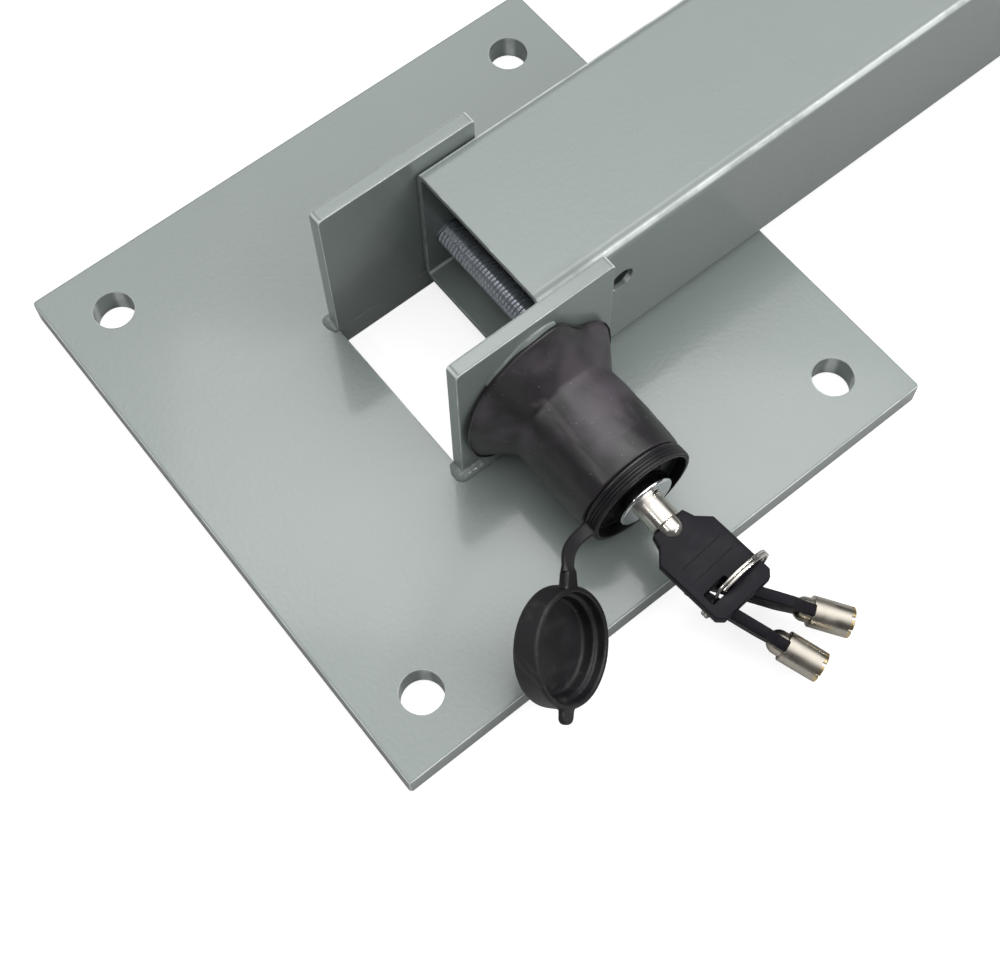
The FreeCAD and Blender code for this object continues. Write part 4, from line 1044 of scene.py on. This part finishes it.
def make_bow(name, origin, across, outward, slot_start, body, node):
    """Moulded key bow: eased edges, ring slot and two fine lines across both faces."""
    chamfer = 2 * MM
    corners = [
        (6.2 * MM, 0, 0.3 * MM),
        (7.5 * MM, 4 * MM, 0.8 * MM),
        (BOW_HALF, 8 * MM, 1 * MM),
        (BOW_HALF, BOW_LENGTH - chamfer, 0.9 * MM),
        (BOW_HALF - chamfer, BOW_LENGTH, 0.9 * MM),
    ]
    corners += [(-x, y, r) for x, y, r in reversed(corners)]
    slot_right, slot_round, edge = SLOT_LEFT + SLOT_LENGTH, 0.6 * MM, 0.35 * MM
    slot = [(SLOT_LEFT, slot_start, slot_round), (slot_right, slot_start, slot_round),
            (slot_right, SLOT_END, slot_round), (SLOT_LEFT, SLOT_END, slot_round)]
    blank = plate_with_hole(rounded(corners, steps=4), rounded(slot, steps=3),
                            BOW_THICKNESS, edge)
    lines = bmesh.new()
    half_line, depth = 0.13 * MM, 0.25 * MM
    for level in (-1, 1):
        for station in (BAND_START, BAND_START + BAND_WIDTH):
            face = level * BOW_THICKNESS / 2
            low_z, high_z = sorted((face - level * depth, face + level * depth))
            add_box(lines, (-BAND_HALF, station - half_line, low_z),
                    (BAND_HALF, station + half_line, high_z))
    bm = cut_away(blank, lines)
    thick = outward.cross(across)
    for vertex in bm.verts:
        x, y, z = vertex.co
        vertex.co = origin + across * x + outward * y + thick * z
    return finish_piece(name, bm, plastic, body, (node,), 35)


def make_spare(label, place, slip, tip_way, roll, body, node, material):
    """Spare key hooked on the ring at a place round it, with its tip pointing one way."""
    turn, roll = math.radians(place), math.radians(roll)
    hook = ring_centre + (bow_across * math.cos(turn) + ring_up * math.sin(turn)) * RING_RADIUS
    down = (tip_way * tip_way.z - WORLD_UP).normalized()
    across = -(down * math.cos(roll) + tip_way.cross(down) * math.sin(roll))
    outward = -tip_way
    slot_start = 20 * MM
    slot_middle = BOW_GAP + (slot_start + SLOT_END) / 2 - slip
    origin = hook - across * (SLOT_LEFT + SLOT_LENGTH / 2) - outward * slot_middle
    make_barrel(label + "_tube", origin, across, outward, body, node + "_barrel", material)
    make_bow(label + "_grip", origin + outward * BOW_GAP, across, outward, slot_start, body,
             node + "_bow")


def make_keys():
    """The key in the lock and the two spare keys."""
    front = lock_point(0, 0, BOW_FRONT_STATION)
    slot_start = 23.3 * MM
    make_barrel("lock_key_tube", front, Vector((1, 0, 0)), WORLD_OUT, "key", "key_barrel",
                key_nickel)
    make_bow("lock_key_grip", front + WORLD_OUT * BOW_GAP, bow_across, bow_outward, slot_start,
             "key", "key_bow")
    make_spare("near_spare", -76, 0.8 * MM, near_spare_way, 16, "spare_1", "spare_key_1",
               near_spare_metal)
    make_spare("far_spare", -112, 1.2 * MM, far_spare_way, 18, "spare_2", "spare_key_2",
               far_spare_metal)


# Stage, light and camera

def make_stage():
    """White floor just under the plate."""
    floor = Surface("floor", (0.5, 0.5, 0.5), 1.0)
    floor.set("Specular IOR Level", 0.0)
    floor.set("Emission Color", (1, 1, 1, 1))
    seen = floor.node("ShaderNodeLightPath").outputs["Is Camera Ray"]
    floor.feed(floor.shader, "Emission Strength", floor.math("MULTIPLY", seen, 0.8))
    reach = 6.0
    mesh = bpy.data.meshes.new("floor")
    corners = [(-reach, -reach, 0), (reach, -reach, 0), (reach, reach, 0), (-reach, reach, 0)]
    mesh.from_pydata(corners, [], [(0, 1, 2, 3)])
    mesh.materials.append(floor.done())
    item = bpy.data.objects.new("floor", mesh)
    item.location.z = plate_low.z - 0.02 * MM
    bpy.context.scene.collection.objects.link(item)


# softboxes: name, place, width, height, power
SOFTBOXES = (
    ("near_strip", (0.6, -0.85, 0.8), 1.5, 0.03, 5.0),
    ("left_strip", (-0.75, 0.1, 0.75), 0.5, 0.1, 0.8),
    ("overhead", (0.34, 0.37, 1.3), 0.84, 0.34, 2.2),
)


def make_light():
    """Pale dome, brightest overhead, and softboxes for the sheen and the bright edges."""
    scene = bpy.context.scene
    world = bpy.data.worlds.new("studio")
    scene.world = world
    world.use_nodes = True
    tree = world.node_tree
    background = tree.nodes["Background"]
    where = tree.nodes.new("ShaderNodeTexCoord")
    dot = tree.nodes.new("ShaderNodeVectorMath")
    dot.operation = "DOT_PRODUCT"
    tree.links.new(where.outputs["Generated"], dot.inputs[0])
    brightest = Vector((0.2, 0.08, 0.97)).normalized()
    dot.inputs[1].default_value = brightest
    span = tree.nodes.new("ShaderNodeMapRange")
    span.interpolation_type = "SMOOTHSTEP"
    tree.links.new(dot.outputs["Value"], span.inputs["Value"])
    for socket, number in (("From Min", 0.56), ("From Max", 1.0), ("To Min", 0.1), ("To Max", 1.9)):
        span.inputs[socket].default_value = number
    tree.links.new(span.outputs[0], background.inputs["Strength"])
    background.inputs["Color"].default_value = (1.0, 1.0, 1.0, 1)
    for name, spot, width, height, power in SOFTBOXES:
        lamp = bpy.data.lights.new(name, "AREA")
        lamp.shape = "RECTANGLE"
        lamp.size = width
        lamp.size_y = height
        lamp.energy = power
        item = bpy.data.objects.new(name, lamp)
        item.location = spot
        item.rotation_mode = "QUATERNION"
        item.rotation_quaternion = (-Vector(spot)).to_track_quat("-Z", "Y")
        scene.collection.objects.link(item)


def make_camera():
    """Camera at the photograph's viewing angle; its numbers come from a fit to it."""
    right = Vector((0.78153, -0.62375, -0.01199))
    down = Vector((-0.56491, -0.6994, -0.43785))
    ahead = right.cross(down).normalized()
    turn = Matrix((right, -down, -ahead)).transposed().to_4x4()
    camera = bpy.data.cameras.new("camera")
    camera.lens = 60.68
    camera.sensor_width = 36.0
    camera.shift_x = 0.0057
    camera.shift_y = -0.06
    camera.clip_start = 0.01
    item = bpy.data.objects.new("camera", camera)
    item.matrix_world = Matrix.Translation((-0.15594, -0.21833, 0.50172)) @ turn
    scene = bpy.context.scene
    scene.collection.objects.link(item)
    scene.camera = item
    scene.view_settings.view_transform = "Standard"
    scene.view_settings.look = "None"


make_boot()
make_collar()
make_cap()
make_strap()
make_bolt()
make_welds()
make_ring()
make_keys()
make_stage()
make_light()
make_camera()
